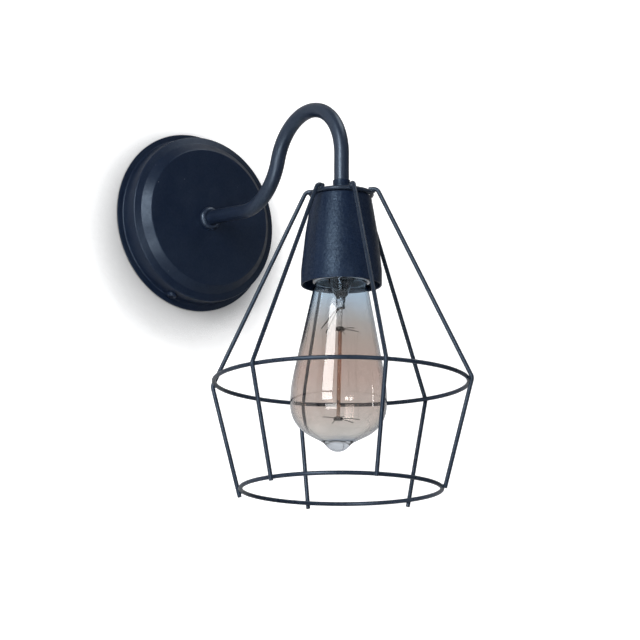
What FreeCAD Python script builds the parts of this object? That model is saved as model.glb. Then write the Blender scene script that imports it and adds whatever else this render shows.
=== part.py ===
import FreeCAD, Part
import math
import os

# A caged wall light, in millimetres.
# The wall is the plane Y = 0 and the light stands out of it towards -Y, with +Z up.
# The origin is the centre of the wall plate's rear face.
# Spun pieces are drawn as an outline of (radius, height) corners, each with its bend radius.

# Fits and gaps
SEAT = 0.05
SLIP = 0.3
SCREW_FIT = 0.1
TOUCHING = 1e-6

# Pan heads and nuts: shares of the head's own radius or height
HEAD_ROUND = 0.6
SLOT_LENGTH = 1.2
SLOT_WIDTH = 0.25
SLOT_DEPTH = 0.5
NUT_CHAMFER = 0.15

# Wall plate, pressed from sheet: depths are measured out from the wall
PLATE_SHEET = 1.0
PLATE_FLANGE_R = 63.6
PLATE_DRUM_R = 59.0
PLATE_DRUM_DEPTH = 14.6
PLATE_LEDGE_R = 54.0
PLATE_LEDGE_RISE = 1.5
PLATE_FACE_R = 48.6
PLATE_DEPTH = 21.5
PLATE_TIGHT_BEND = 1.2
PLATE_SOFT_BEND = 1.6

# Bracket strap behind the plate, and the screws through the plate's drum into its ears
STRAP_TURN = 69.5
STRAP_SHEET = 1.5
STRAP_WIDTH = 20.0
STRAP_BEND = 2.0
EAR_HEIGHT = 11.0
EAR_SCREW_DEPTH = 6.0
WALL_HOLE_R = 2.6
WALL_HOLE_PCD = 76.0
CABLE_HOLE_R = 6.0
PLATE_SCREW_R = 2.0
PLATE_SCREW_LENGTH = 9.0
PLATE_SCREW_HEAD_R = 3.6
PLATE_SCREW_HEAD = 2.4
EARTH_SCREW_AT = -22.0
EARTH_SCREW_R = 2.0
EARTH_SCREW_HEAD_R = 3.6
EARTH_SCREW_HEAD = 2.4
TAG_SHEET = 0.8
TAG_R = 4.2
TAG_BARREL = 6.0

# Terminal block on the strap
BLOCK_AT = 19.0
BLOCK_LENGTH = 14.0
BLOCK_HEIGHT = 11.0
BLOCK_SCREW_R = 1.4
BLOCK_SCREW_HEAD_R = 2.6
BLOCK_SCREW_HEAD = 1.6
BLOCK_WELL = 3.0
BLOCK_ROUND = 1.5
POLE_PITCH = 10.0
POLE_COUNT = 3
POLE_DEPTH = 6.0
SLEEVE_R = 2.2
SLEEVE_BORE_R = 1.5
CLAMP_SCREW_R = 1.3
CLAMP_SLOT_WIDTH = 0.4
CLAMP_SLOT_DEPTH = 0.5

# Leads
LEAD_R = 1.0
LEAD_BEND = 3.2
LEAD_SPREAD = 1.35
LEAD_ENTRY = 4.0

# Arm: one bent tube
ARM_R = 5.0
ARM_WALL = 1.0
ARM_DROP = 1.0
ARM_REACH = 178.0
ARM_REAR = 12.0
ARM_LEAD_OUT = 27.0
ARM_SAG_BEND = 60.0
ARM_SAG_TURN = 5.4
ARM_RISE_BEND = 39.3
ARM_RISE_TURN = 78.8
ARM_CREST_BEND = 37.6
COLLAR_R = 8.2
COLLAR_HEIGHT = 3.0
COLLAR_ROUND = 2.4
NUT_FLATS = 14.0
NUT_HEIGHT = 3.0
WASHER_R = 8.0
WASHER_SHEET = 0.8
WASHER_TEETH = 12
WASHER_TOOTH = 1.2
BUSH_SHEET = 0.6
BUSH_FLANGE = 0.8
BUSH_LENGTH = 6.0

# Lamp cup: heights are measured down from its top face
CUP_TOP_Z = -13.0
CUP_SHEET = 1.2
CUP_HEIGHT = 64.0
CUP_TOP_R = 18.5
CUP_TOP_BEND = 3.0
CUP_SHOULDER_DROP = 3.6
CUP_SHOULDER_R = 19.9
CUP_SHOULDER_SLOPE = 0.6
CUP_WAIST_DROP = 28.0
CUP_WAIST_R = 23.9
CUP_MOUTH_R = 26.8
CUP_BAND = 10.0
CUP_BAND_BEND = 20.0
CUP_FLARE_BEND = 90.0
FERRULE_SHEET = 0.7
FERRULE_HEIGHT = 7.5

# Lamp holder inside the cup
HOLDER_WALL = 2.2
HOLDER_BOSS_R = 8.5
HOLDER_BOSS = 8.0
HOLDER_BOSS_BEND = 1.5
HOLDER_R = 17.8
HOLDER_CAP_HEIGHT = 21.0
HOLDER_CAP_BEND = 4.0
SKIRT_LENGTH = 31.0
SKIRT_ROUND = 1.0
CONTACT_BLOCK = 6.0
SHELL_SHEET = 0.4
SHELL_LENGTH = 22.0
BULB_CLEAR = 0.5
TONGUE_WIDTH = 5.0
TONGUE_SHEET = 0.4
TONGUE_SEAT = 2.0
TONGUE_CLEAR = 0.5
HOLDER_SCREW_R = 1.5
HOLDER_SCREW_HEAD_R = 2.6
HOLDER_SCREW_HEAD = 1.8
HOLDER_SCREW_LENGTH = 5.0
HOLDER_SCREW_AT = 9.0
HOLDER_RING_SHEET = 1.1
HOLDER_RING_LENGTH = 16.0
HOLDER_RING_ROUND = 0.4
HOLDER_RING_RECESS = 1.8

# Cage of round wire
WIRE_R = 1.4
TOP_RING_R = 20.1
MIDDLE_RING_R = 83.8
BOTTOM_RING_R = 65.9
UPPER_CAGE = 126.7
LOWER_CAGE = 71.1
RIB_COUNT = 6
FIRST_RIB_TURN = -107.3
RIB_START_R = 18.4
RIB_SHOULDER_R = 24.1
RIB_TOP_BEND = 4.0
RIB_KNEE_BEND = 5.0
RIB_TAIL_1 = 2.0
RIB_TAIL_2 = 1.4
RIB_TAIL_3 = 4.0
RIB_TAIL_4 = 3.4
RIB_TAIL_5 = 3.8
RIB_TAIL_6 = 3.0

# Bulb: heights are measured down from its contact button
BULB_TOP_Z = -47.4
BULB_LENGTH = 141.0
BULB_LEAN = 1.1
BULB_LEAN_TURN = 234.0
BULB_PIVOT = 13.0
BULB_CAP_R = 13.0
BULB_CAP_SHEET = 0.3
BULB_CAP_END = 23.0
BULB_CAP_SHOULDER = 2.5
BULB_CAP_BEND = 1.0
BUTTON_R = 4.6
BUTTON_HEIGHT = 1.4
BUTTON_ROUND = 1.0
INSULATOR_HEIGHT = 3.6
INSULATOR_LIP = 0.6
GLASS_WALL = 0.8
GLASS_NECK_R = 12.4
GLASS_NECK_TOP = 18.0
GLASS_NECK_BEND = 1.0
GLASS_SHOULDER_R = 17.35
GLASS_SHOULDER_AT = 27.5
GLASS_SHOULDER_BEND = 8.0
GLASS_BELLY_R = 31.75
GLASS_BELLY_ABOVE_TIP = 42.8
GLASS_BELLY_BEND = 80.0
GLASS_HIP_ABOVE_TIP = 17.7
GLASS_HIP_BEND = 22.0
PIP_TIP_R = 4.2
PIP_R = 9.5
PIP_LENGTH = 5.9
PIP_ROUND = 8.8
PIP_FLARE = 8.0
STEM_WAIST_R = 5.2
STEM_WAIST_AT = 35.0
STEM_WAIST_BEND = 8.0
PINCH_R = 3.3
PINCH_AT = 38.0
PINCH_END = 45.8
PINCH_BEND = 3.0
PINCH_ROUND = 1.5
ROD_R = 1.3
BEAD_R = 3.1
BEAD_HEIGHT = 2.5
BEAD_ROUND = 1.0
UPPER_BEAD_AT = 58.0
LOWER_BEAD_ABOVE_TIP = 23.0
HOOK_R = 0.3
UPPER_HOOK_REACH = 13.0
LOWER_HOOK_REACH = 14.5
HOOK_DROOP = 0.8
HOOK_TIP = 0.8
HOOK_CLEAR = 0.15
LOWER_HOOK_COUNT = 5
FILAMENT_TURN = 160.0
FILAMENT_R = 0.15
FILAMENT_BEND = 0.4
INNER_LEAD_R = 0.3
INNER_LEAD_ROOT = 2.0

# Places that follow from the sizes above
EAR_R = PLATE_DRUM_R - PLATE_SHEET - SLIP
STRAP_FRONT = STRAP_SHEET
PLATE_INSIDE = PLATE_DEPTH - PLATE_SHEET
CUP_BOTTOM_Z = CUP_TOP_Z - CUP_HEIGHT
CUP_INSIDE_Z = CUP_TOP_Z - CUP_SHEET
TOP_RING_Z = CUP_TOP_Z - CUP_SHOULDER_DROP + WIRE_R + SEAT
MIDDLE_RING_Z = TOP_RING_Z - UPPER_CAGE
BOTTOM_RING_Z = MIDDLE_RING_Z - LOWER_CAGE
HOLDER_TOP_Z = CUP_INSIDE_Z - WASHER_SHEET - NUT_HEIGHT - 3 * SEAT
HOLDER_SPLIT_Z = HOLDER_TOP_Z - HOLDER_CAP_HEIGHT
ARM_END_Z = HOLDER_TOP_Z - HOLDER_BOSS
CONTACT_BLOCK_Z = HOLDER_SPLIT_Z - SEAT
CONTACT_FACE_Z = CONTACT_BLOCK_Z - CONTACT_BLOCK
SHELL_R = BULB_CAP_R + BULB_CLEAR
SKIRT_BORE_R = HOLDER_R - HOLDER_WALL
HOLDER_RING_END_Z = CUP_BOTTOM_Z + HOLDER_RING_RECESS
RIB_TAILS = (RIB_TAIL_1, RIB_TAIL_2, RIB_TAIL_3, RIB_TAIL_4, RIB_TAIL_5, RIB_TAIL_6)
GLASS_BELLY_AT = BULB_LENGTH - GLASS_BELLY_ABOVE_TIP
GLASS_HIP_AT = BULB_LENGTH - GLASS_HIP_ABOVE_TIP
LOWER_BEAD_AT = BULB_LENGTH - LOWER_BEAD_ABOVE_TIP


def at_corner(corners, closed):
    """Straight and round edges through (point, bend radius) corners."""
    count = len(corners)
    joins = []
    for index, (point, bend) in enumerate(corners):
        at_end = not closed and index in (0, count - 1)
        if at_end or bend == 0:
            joins.append((point, None, point))
            continue
        back = (corners[index - 1][0] - point).normalize()
        ahead = (corners[(index + 1) % count][0] - point).normalize()
        half = back.getAngle(ahead) / 2
        reach = bend / math.tan(half)
        inward = (back + ahead).normalize()
        crown = point + inward * (bend / math.sin(half) - bend)
        joins.append((point + back * reach, crown, point + ahead * reach))
    edges = []
    for index, (start, crown, end) in enumerate(joins):
        if crown:
            edges.append(Part.Arc(start, crown, end).toShape())
        if index < count - 1 or closed:
            target = joins[(index + 1) % count][0]
            if (end - target).Length > TOUCHING:
                edges.append(Part.LineSegment(end, target).toShape())
    return edges


def outline(corners, closed):
    """Wire in the X-Z plane through (radius, height, bend radius) corners."""
    points = [(FreeCAD.Vector(x, 0, z), bend) for x, z, bend in corners]
    return Part.Wire(at_corner(points, closed))


def spun(corners):
    """Solid of revolution about Z from a closed outline."""
    face = Part.Face(outline(corners, True))
    return face.revolve(FreeCAD.Vector(), FreeCAD.Vector(0, 0, 1), 360)


def spun_sheet(corners, sheet):
    """Thin shell of revolution about Z from its outer line, with the wall on the line's left."""
    face = outline(corners, False).makeOffset2D(sheet, 2, True, True, False)
    return face.revolve(FreeCAD.Vector(), FreeCAD.Vector(0, 0, 1), 360)


def rod(radius, start, end):
    """Round bar between two points."""
    axis = end - start
    return Part.makeCylinder(radius, axis.Length, start, axis)


def tube(outer, inner, bottom, top):
    """Straight tube on the Z axis."""
    foot = FreeCAD.Vector(0, 0, bottom)
    return Part.makeCylinder(outer, top - bottom, foot).cut(Part.makeCylinder(inner, top - bottom, foot))


def swept(edges, radius):
    """Round wire or hose along connected edges."""
    path = Part.Wire(edges)
    first = edges[0]
    start = first.valueAt(first.FirstParameter)
    heading = first.tangentAt(first.FirstParameter)
    section = Part.Wire(Part.makeCircle(radius, start, heading))
    return path.makePipeShell([section], True, True)


def box(length, width, height, centre_x, centre_y, bottom):
    """Box centred on X and Y, standing on a height."""
    corner = FreeCAD.Vector(centre_x - length / 2, centre_y - width / 2, bottom)
    return Part.makeBox(length, width, height, corner)


def rounded_box(length, width, height, bend):
    """Box with round upright edges, centred on X and Y and standing on Z = 0."""
    corners = [(x * length / 2, y * width / 2, bend) for x, y in ((-1, -1), (1, -1), (1, 1), (-1, 1))]
    body = Part.Face(outline(corners, True)).extrude(FreeCAD.Vector(0, height, 0))
    body.rotate(FreeCAD.Vector(), FreeCAD.Vector(1, 0, 0), 90)
    return body


def onto_wall(shape, turn=0.0):
    """Turn a piece drawn with Z out of the wall onto the wall, then round the plate's centre."""
    placed = shape.copy()
    placed.rotate(FreeCAD.Vector(), FreeCAD.Vector(1, 0, 0), 90)
    placed.rotate(FreeCAD.Vector(), FreeCAD.Vector(0, 1, 0), -turn)
    return placed


def strap_point(along, across, depth):
    """World point from places along and across the strap and out of the wall."""
    turn = math.radians(STRAP_TURN)
    x = along * math.cos(turn) - across * math.sin(turn)
    z = along * math.sin(turn) + across * math.cos(turn)
    return FreeCAD.Vector(x, -depth, z)


def onto_arm_root(shape):
    """Place a piece drawn on Z, with Z out of the wall, on the arm's root."""
    placed = onto_wall(shape)
    placed.translate(FreeCAD.Vector(0, 0, -ARM_DROP))
    return placed


def under_arm(shape, height=0.0, turn=0.0):
    """Place a piece drawn on Z on the lamp's axis."""
    placed = shape.copy()
    placed.rotate(FreeCAD.Vector(), FreeCAD.Vector(0, 0, 1), turn)
    placed.translate(FreeCAD.Vector(0, -ARM_REACH, height))
    return placed


def lean_axis():
    """Direction that the bulb's tip leans along, level."""
    turn = math.radians(BULB_LEAN_TURN)
    return FreeCAD.Vector(math.sin(turn), -math.cos(turn), 0)


def in_socket(shape):
    """Place a bulb piece, drawn from its contact button down, with the bulb's small lean."""
    placed = under_arm(shape, BULB_TOP_Z)
    pivot = FreeCAD.Vector(0, -ARM_REACH, BULB_TOP_Z - BULB_PIVOT)
    hinge = lean_axis().cross(FreeCAD.Vector(0, 0, 1))
    placed.rotate(pivot, hinge, BULB_LEAN)
    return placed


def nut(flats, height, bore):
    """Hexagon nut standing on Z = 0."""
    corner_r = flats / 2 / math.cos(math.pi / 6)
    angles = [math.pi / 3 * step for step in range(7)]
    corners = [FreeCAD.Vector(corner_r * math.cos(a), corner_r * math.sin(a), 0) for a in angles]
    hexagon = Part.Face(Part.makePolygon(corners)).extrude(FreeCAD.Vector(0, 0, height))
    chamfer = height * NUT_CHAMFER
    dome = spun([(0, 0, 0), (flats / 2, 0, 0), (corner_r, chamfer, 0),
                 (corner_r, height - chamfer, 0), (flats / 2, height, 0), (0, height, 0)])
    return hexagon.common(dome).cut(Part.makeCylinder(bore, height))


def toothed_washer(bore):
    """Flat washer with a toothed rim, standing on Z = 0."""
    body = tube(WASHER_R, bore, 0, WASHER_SHEET)
    for step in range(WASHER_TEETH):
        notch = box(WASHER_TOOTH, WASHER_TOOTH, WASHER_SHEET, WASHER_R, 0, 0)
        notch.rotate(FreeCAD.Vector(), FreeCAD.Vector(0, 0, 1), 360 / WASHER_TEETH * step)
        body = body.cut(notch)
    return body


def pan_screw(radius, length, head_r, head_height):
    """Pan head screw with its shank below Z = 0 and a cross slot in the head."""
    body = spun([(0, -length, 0), (radius, -length, 0), (radius, 0, 0), (head_r, 0, 0),
                 (head_r, head_height, head_height * HEAD_ROUND), (0, head_height, 0)])
    slot_foot = head_height * (1 - SLOT_DEPTH)
    slot = box(head_r * SLOT_LENGTH, head_r * SLOT_WIDTH, head_height, 0, 0, slot_foot)
    across = slot.copy()
    across.rotate(FreeCAD.Vector(), FreeCAD.Vector(0, 0, 1), 90)
    return body.cut(slot).cut(across)


def wall_bracket():
    profile = outline([(-EAR_R, 0, STRAP_BEND), (EAR_R, 0, STRAP_BEND), (EAR_R, EAR_HEIGHT, 0),
                       (EAR_R - STRAP_SHEET, EAR_HEIGHT, 0),
                       (EAR_R - STRAP_SHEET, STRAP_SHEET, STRAP_BEND - STRAP_SHEET),
                       (STRAP_SHEET - EAR_R, STRAP_SHEET, STRAP_BEND - STRAP_SHEET),
                       (STRAP_SHEET - EAR_R, EAR_HEIGHT, 0), (-EAR_R, EAR_HEIGHT, 0)], True)
    profile.translate(FreeCAD.Vector(0, -STRAP_WIDTH / 2, 0))
    strap = Part.Face(profile).extrude(FreeCAD.Vector(0, STRAP_WIDTH, 0))
    drum = Part.makeCylinder(EAR_R, EAR_HEIGHT)
    strap = strap.common(drum)
    strap = strap.cut(Part.makeCylinder(CABLE_HOLE_R, STRAP_SHEET))
    holes = [(WALL_HOLE_PCD / 2, WALL_HOLE_R), (-WALL_HOLE_PCD / 2, WALL_HOLE_R),
             (EARTH_SCREW_AT, EARTH_SCREW_R + SCREW_FIT)]
    for along, radius in holes:
        strap = strap.cut(Part.makeCylinder(radius, STRAP_SHEET, FreeCAD.Vector(along, 0, 0)))
    for across in block_screw_places():
        seat = FreeCAD.Vector(BLOCK_AT, across, 0)
        strap = strap.cut(Part.makeCylinder(BLOCK_SCREW_R + SCREW_FIT, STRAP_SHEET, seat))
    for side in (-1, 1):
        foot = FreeCAD.Vector(side * EAR_R, 0, EAR_SCREW_DEPTH)
        middle = FreeCAD.Vector(0, 0, EAR_SCREW_DEPTH)
        strap = strap.cut(rod(PLATE_SCREW_R + SCREW_FIT, foot, middle))
    return onto_wall(strap, STRAP_TURN)


def wall_plate():
    shell = spun_sheet([(PLATE_FLANGE_R, PLATE_SHEET, 0),
                        (PLATE_DRUM_R, PLATE_SHEET, PLATE_TIGHT_BEND),
                        (PLATE_DRUM_R, PLATE_DRUM_DEPTH, PLATE_TIGHT_BEND),
                        (PLATE_LEDGE_R, PLATE_DRUM_DEPTH + PLATE_LEDGE_RISE, PLATE_TIGHT_BEND),
                        (PLATE_FACE_R, PLATE_DEPTH, PLATE_SOFT_BEND),
                        (0, PLATE_DEPTH, 0)], PLATE_SHEET)
    for side in (-1, 1):
        foot = FreeCAD.Vector(side * PLATE_DRUM_R, 0, EAR_SCREW_DEPTH)
        middle = FreeCAD.Vector(0, 0, EAR_SCREW_DEPTH)
        shell = shell.cut(rod(PLATE_SCREW_R + SLIP, foot, middle))
    hole = Part.makeCylinder(ARM_R + SEAT, PLATE_DEPTH)
    return onto_wall(shell, STRAP_TURN).cut(onto_arm_root(hole))


def plate_screws():
    screw = pan_screw(PLATE_SCREW_R, PLATE_SCREW_LENGTH, PLATE_SCREW_HEAD_R, PLATE_SCREW_HEAD)
    screws = []
    for side in (-1, 1):
        placed = screw.copy()
        placed.rotate(FreeCAD.Vector(), FreeCAD.Vector(0, 1, 0), side * 90)
        placed.translate(FreeCAD.Vector(side * (PLATE_DRUM_R + SEAT), 0, EAR_SCREW_DEPTH))
        screws.append(onto_wall(placed, STRAP_TURN))
    return Part.makeCompound(screws)


def pole_places():
    """Places of the terminal block's poles across the strap."""
    middle = (POLE_COUNT - 1) / 2
    return [(index - middle) * POLE_PITCH for index in range(POLE_COUNT)]


def block_screw_places():
    """Places across the strap of the screws between the poles."""
    return [-POLE_PITCH / 2, POLE_PITCH / 2]


def terminal_block():
    foot = STRAP_FRONT + SEAT
    body = rounded_box(BLOCK_LENGTH, POLE_PITCH * POLE_COUNT, BLOCK_HEIGHT, BLOCK_ROUND)
    body.translate(FreeCAD.Vector(BLOCK_AT, 0, foot))
    start = BLOCK_AT - BLOCK_LENGTH / 2
    for across in pole_places():
        bore = rod(SLEEVE_R + SEAT, FreeCAD.Vector(start, across, POLE_DEPTH + foot),
                   FreeCAD.Vector(start + BLOCK_LENGTH, across, POLE_DEPTH + foot))
        body = body.cut(bore)
        for side in (-1, 1):
            seat = FreeCAD.Vector(BLOCK_AT + side * BLOCK_LENGTH / 4, across, foot + POLE_DEPTH)
            body = body.cut(Part.makeCylinder(CLAMP_SCREW_R + SCREW_FIT, BLOCK_HEIGHT, seat))
    for across in block_screw_places():
        seat = FreeCAD.Vector(BLOCK_AT, across, foot)
        body = body.cut(Part.makeCylinder(BLOCK_SCREW_R + SCREW_FIT, BLOCK_HEIGHT, seat))
        well = seat + FreeCAD.Vector(0, 0, BLOCK_WELL)
        body = body.cut(Part.makeCylinder(BLOCK_SCREW_HEAD_R + SCREW_FIT, BLOCK_HEIGHT, well))
    return onto_wall(body, STRAP_TURN)


def block_screws():
    screws = []
    for across in block_screw_places():
        screw = pan_screw(BLOCK_SCREW_R, BLOCK_WELL + STRAP_SHEET, BLOCK_SCREW_HEAD_R, BLOCK_SCREW_HEAD)
        screw.translate(FreeCAD.Vector(BLOCK_AT, across, STRAP_FRONT + BLOCK_WELL + 2 * SEAT))
        screws.append(onto_wall(screw, STRAP_TURN))
    return Part.makeCompound(screws)


def terminal_sleeves():
    foot = STRAP_FRONT + SEAT
    start = BLOCK_AT - BLOCK_LENGTH / 2 + SLIP
    end = BLOCK_AT + BLOCK_LENGTH / 2 - SLIP
    sleeves = []
    for across in pole_places():
        ends = [FreeCAD.Vector(x, across, POLE_DEPTH + foot) for x in (start, end)]
        sleeve = rod(SLEEVE_R, *ends).cut(rod(SLEEVE_BORE_R, *ends))
        for side in (-1, 1):
            seat = FreeCAD.Vector(BLOCK_AT + side * BLOCK_LENGTH / 4, across, foot + POLE_DEPTH)
            sleeve = sleeve.cut(Part.makeCylinder(CLAMP_SCREW_R + SEAT, BLOCK_HEIGHT, seat))
        sleeves.append(onto_wall(sleeve, STRAP_TURN))
    return Part.makeCompound(sleeves)


def clamp_screws():
    foot = STRAP_FRONT + SEAT
    screws = []
    for across in pole_places():
        for side in (-1, 1):
            bottom = foot + POLE_DEPTH + LEAD_R + SEAT
            top = foot + BLOCK_HEIGHT - SLIP
            seat = FreeCAD.Vector(BLOCK_AT + side * BLOCK_LENGTH / 4, across, bottom)
            screw = Part.makeCylinder(CLAMP_SCREW_R, top - bottom, seat)
            slot = box(CLAMP_SLOT_WIDTH, CLAMP_SCREW_R * 2, CLAMP_SLOT_DEPTH,
                       seat.x, across, top - CLAMP_SLOT_DEPTH)
            screws.append(onto_wall(screw.cut(slot), STRAP_TURN))
    return Part.makeCompound(screws)


def earth_tag():
    foot = STRAP_FRONT + SEAT
    eye = tube(TAG_R, EARTH_SCREW_R + SCREW_FIT, foot, foot + TAG_SHEET)
    barrel_r = LEAD_R + SEAT + TAG_SHEET
    start = FreeCAD.Vector(EARTH_SCREW_R + TAG_SHEET + SLIP, 0, foot + barrel_r)
    end = start + FreeCAD.Vector(TAG_BARREL, 0, 0)
    barrel = rod(barrel_r, start, end).cut(rod(LEAD_R + SEAT, start, end))
    tag = eye.fuse(barrel.cut(Part.makeCylinder(EARTH_SCREW_HEAD_R + SLIP, BLOCK_HEIGHT)))
    tag = tag.cut(Part.makeCylinder(EARTH_SCREW_HEAD_R + SLIP, BLOCK_HEIGHT,
                                    FreeCAD.Vector(0, 0, foot + TAG_SHEET)))
    tag.translate(FreeCAD.Vector(EARTH_SCREW_AT, 0, 0))
    return onto_wall(tag, STRAP_TURN)


def earth_screw():
    screw = pan_screw(EARTH_SCREW_R, STRAP_SHEET + TAG_SHEET, EARTH_SCREW_HEAD_R, EARTH_SCREW_HEAD)
    screw.translate(FreeCAD.Vector(EARTH_SCREW_AT, 0, STRAP_FRONT + TAG_SHEET + 2 * SEAT))
    return onto_wall(screw, STRAP_TURN)


def arm_route(across, start, end_z):
    """Edges of the arm's bent line, from a depth off the wall to a height on the lamp's axis."""
    sag = math.radians(ARM_SAG_TURN)
    climb = math.radians(ARM_RISE_TURN - ARM_SAG_TURN)
    fixed_reach = ARM_LEAD_OUT + ARM_SAG_BEND * math.sin(sag)
    fixed_reach += ARM_RISE_BEND * (math.sin(sag) + math.sin(climb))
    fixed_reach += ARM_CREST_BEND * (math.sin(climb) + 1)
    run = (ARM_REACH - fixed_reach) / math.cos(sag)
    steps = [(0, ARM_LEAD_OUT - start), (ARM_SAG_BEND, -ARM_SAG_TURN), (0, run),
             (ARM_RISE_BEND, ARM_RISE_TURN), (ARM_CREST_BEND, ARM_SAG_TURN - ARM_RISE_TURN - 90)]
    place = FreeCAD.Vector(across, -start, -ARM_DROP)
    heading = FreeCAD.Vector(0, -1, 0)
    edges = []
    for bend, amount in steps:
        if bend == 0:
            target = place + heading * amount
            edges.append(Part.LineSegment(place, target).toShape())
            place = target
            continue
        side = math.copysign(1, amount)
        centre = place + FreeCAD.Vector(0, heading.z, -heading.y) * (bend * side)
        spokes = []
        for share in (0.5, 1.0):
            turned = FreeCAD.Rotation(FreeCAD.Vector(1, 0, 0), -amount * share)
            spokes.append(turned.multVec(place - centre))
            last = turned
        edges.append(Part.Arc(place, centre + spokes[0], centre + spokes[1]).toShape())
        place = centre + spokes[1]
        heading = last.multVec(heading)
    edges.append(Part.LineSegment(place, FreeCAD.Vector(across, place.y, end_z)).toShape())
    return edges


def arm_tube():
    route = arm_route(0, ARM_REAR, ARM_END_Z)
    return swept(route, ARM_R).cut(swept(route, ARM_R - ARM_WALL))


def arm_collar():
    bore = ARM_R + SEAT
    ring = spun([(bore, 0, 0), (COLLAR_R, 0, 0), (COLLAR_R, COLLAR_HEIGHT, COLLAR_ROUND),
                 (bore, COLLAR_HEIGHT, 0)])
    ring.translate(FreeCAD.Vector(0, 0, PLATE_DEPTH + SEAT))
    return onto_arm_root(ring)


def arm_washer():
    washer = toothed_washer(ARM_R + SEAT)
    washer.translate(FreeCAD.Vector(0, 0, PLATE_INSIDE - SEAT - WASHER_SHEET))
    return onto_arm_root(washer)


def arm_lock_nut():
    piece = nut(NUT_FLATS, NUT_HEIGHT, ARM_R + SEAT)
    piece.translate(FreeCAD.Vector(0, 0, PLATE_INSIDE - 2 * SEAT - WASHER_SHEET - NUT_HEIGHT))
    return onto_arm_root(piece)


def arm_bush():
    outer = ARM_R - ARM_WALL - SEAT
    inner = outer - BUSH_SHEET
    bush = spun([(inner, -BUSH_FLANGE, 0), (ARM_R, -BUSH_FLANGE, 0), (ARM_R, 0, 0), (outer, 0, 0),
                 (outer, BUSH_LENGTH, 0), (inner, BUSH_LENGTH, 0)])
    bush.translate(FreeCAD.Vector(0, 0, ARM_REAR - SEAT))
    return onto_arm_root(bush)


def cup_ferrule():
    sleeve = tube(ARM_R + SEAT + FERRULE_SHEET, ARM_R + SEAT, 0, FERRULE_HEIGHT)
    return under_arm(sleeve, CUP_TOP_Z + SEAT)


def lamp_cup():
    shoulder = -CUP_SHOULDER_DROP
    shell = spun_sheet([(CUP_MOUTH_R, -CUP_HEIGHT, 0),
                        (CUP_MOUTH_R, CUP_BAND - CUP_HEIGHT, CUP_BAND_BEND),
                        (CUP_WAIST_R, -CUP_WAIST_DROP, CUP_FLARE_BEND),
                        (CUP_SHOULDER_R, shoulder - CUP_SHOULDER_SLOPE, 0), (CUP_TOP_R, shoulder, 0),
                        (CUP_TOP_R, 0, CUP_TOP_BEND), (0, 0, 0)], CUP_SHEET)
    hole = Part.makeCylinder(ARM_R + SEAT, CUP_HEIGHT, FreeCAD.Vector(0, 0, -CUP_HEIGHT))
    return under_arm(shell.cut(hole), CUP_TOP_Z)


def cup_washer():
    return under_arm(tube(WASHER_R, ARM_R + SEAT, 0, WASHER_SHEET), CUP_INSIDE_Z - SEAT - WASHER_SHEET)


def cup_lock_nut():
    return under_arm(nut(NUT_FLATS, NUT_HEIGHT, ARM_R + SEAT), HOLDER_TOP_Z + SEAT)


def holder_cap():
    bore = ARM_R + SEAT
    foot = -HOLDER_CAP_HEIGHT
    shoulder = HOLDER_WALL - HOLDER_BOSS
    cap = spun([(bore, 0, 0), (HOLDER_BOSS_R, 0, 0), (HOLDER_BOSS_R, shoulder, HOLDER_BOSS_BEND),
                (HOLDER_R, shoulder, HOLDER_CAP_BEND), (HOLDER_R, foot, 0), (SKIRT_BORE_R, foot, 0),
                (SKIRT_BORE_R, -HOLDER_BOSS, HOLDER_CAP_BEND - HOLDER_WALL), (bore, -HOLDER_BOSS, 0)])
    return under_arm(cap, HOLDER_TOP_Z)


def contact_block():
    disc = Part.makeCylinder(SKIRT_BORE_R - SEAT, CONTACT_BLOCK)
    for side in (-1, 1):
        seat = FreeCAD.Vector(side * HOLDER_SCREW_AT, 0, 0)
        disc = disc.cut(Part.makeCylinder(HOLDER_SCREW_R + SCREW_FIT, CONTACT_BLOCK, seat))
    seat_width = TONGUE_WIDTH + 2 * SEAT
    disc = disc.cut(box(seat_width, seat_width, TONGUE_SEAT, 0, 0, 0))
    return under_arm(disc, CONTACT_FACE_Z)


def holder_screws():
    screw = pan_screw(HOLDER_SCREW_R, HOLDER_SCREW_LENGTH, HOLDER_SCREW_HEAD_R, HOLDER_SCREW_HEAD)
    screws = []
    for side in (-1, 1):
        placed = screw.copy()
        placed.translate(FreeCAD.Vector(side * HOLDER_SCREW_AT, 0, 0))
        screws.append(under_arm(placed, CONTACT_BLOCK_Z + SEAT))
    return Part.makeCompound(screws)


def centre_contact():
    root = TONGUE_SEAT - SEAT
    reach = CONTACT_FACE_Z - BULB_TOP_Z - TONGUE_CLEAR
    leaf = outline([(-TONGUE_WIDTH / 2, root, 0), (TONGUE_WIDTH / 2, root, 0),
                    (TONGUE_WIDTH / 2, root - TONGUE_SHEET, 0),
                    (TONGUE_SHEET - TONGUE_WIDTH / 2, root - TONGUE_SHEET, 0),
                    (TONGUE_SHEET - TONGUE_WIDTH / 2, TONGUE_SHEET - reach, 0),
                    (TONGUE_WIDTH / 2, TONGUE_SHEET - reach, 0), (TONGUE_WIDTH / 2, -reach, 0),
                    (-TONGUE_WIDTH / 2, -reach, 0)], True)
    leaf.translate(FreeCAD.Vector(0, -TONGUE_WIDTH / 2, 0))
    tongue = Part.Face(leaf).extrude(FreeCAD.Vector(0, TONGUE_WIDTH, 0))
    return under_arm(tongue, CONTACT_FACE_Z)


def screw_shell():
    flange_r = SKIRT_BORE_R - SLIP
    outer = SHELL_R + SHELL_SHEET
    shell = spun([(SHELL_R, -SHELL_LENGTH, 0), (outer, -SHELL_LENGTH, 0), (outer, -SHELL_SHEET, 0),
                  (flange_r, -SHELL_SHEET, 0), (flange_r, 0, 0), (SHELL_R, 0, 0)])
    return under_arm(shell, CONTACT_FACE_Z - SEAT)


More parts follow.
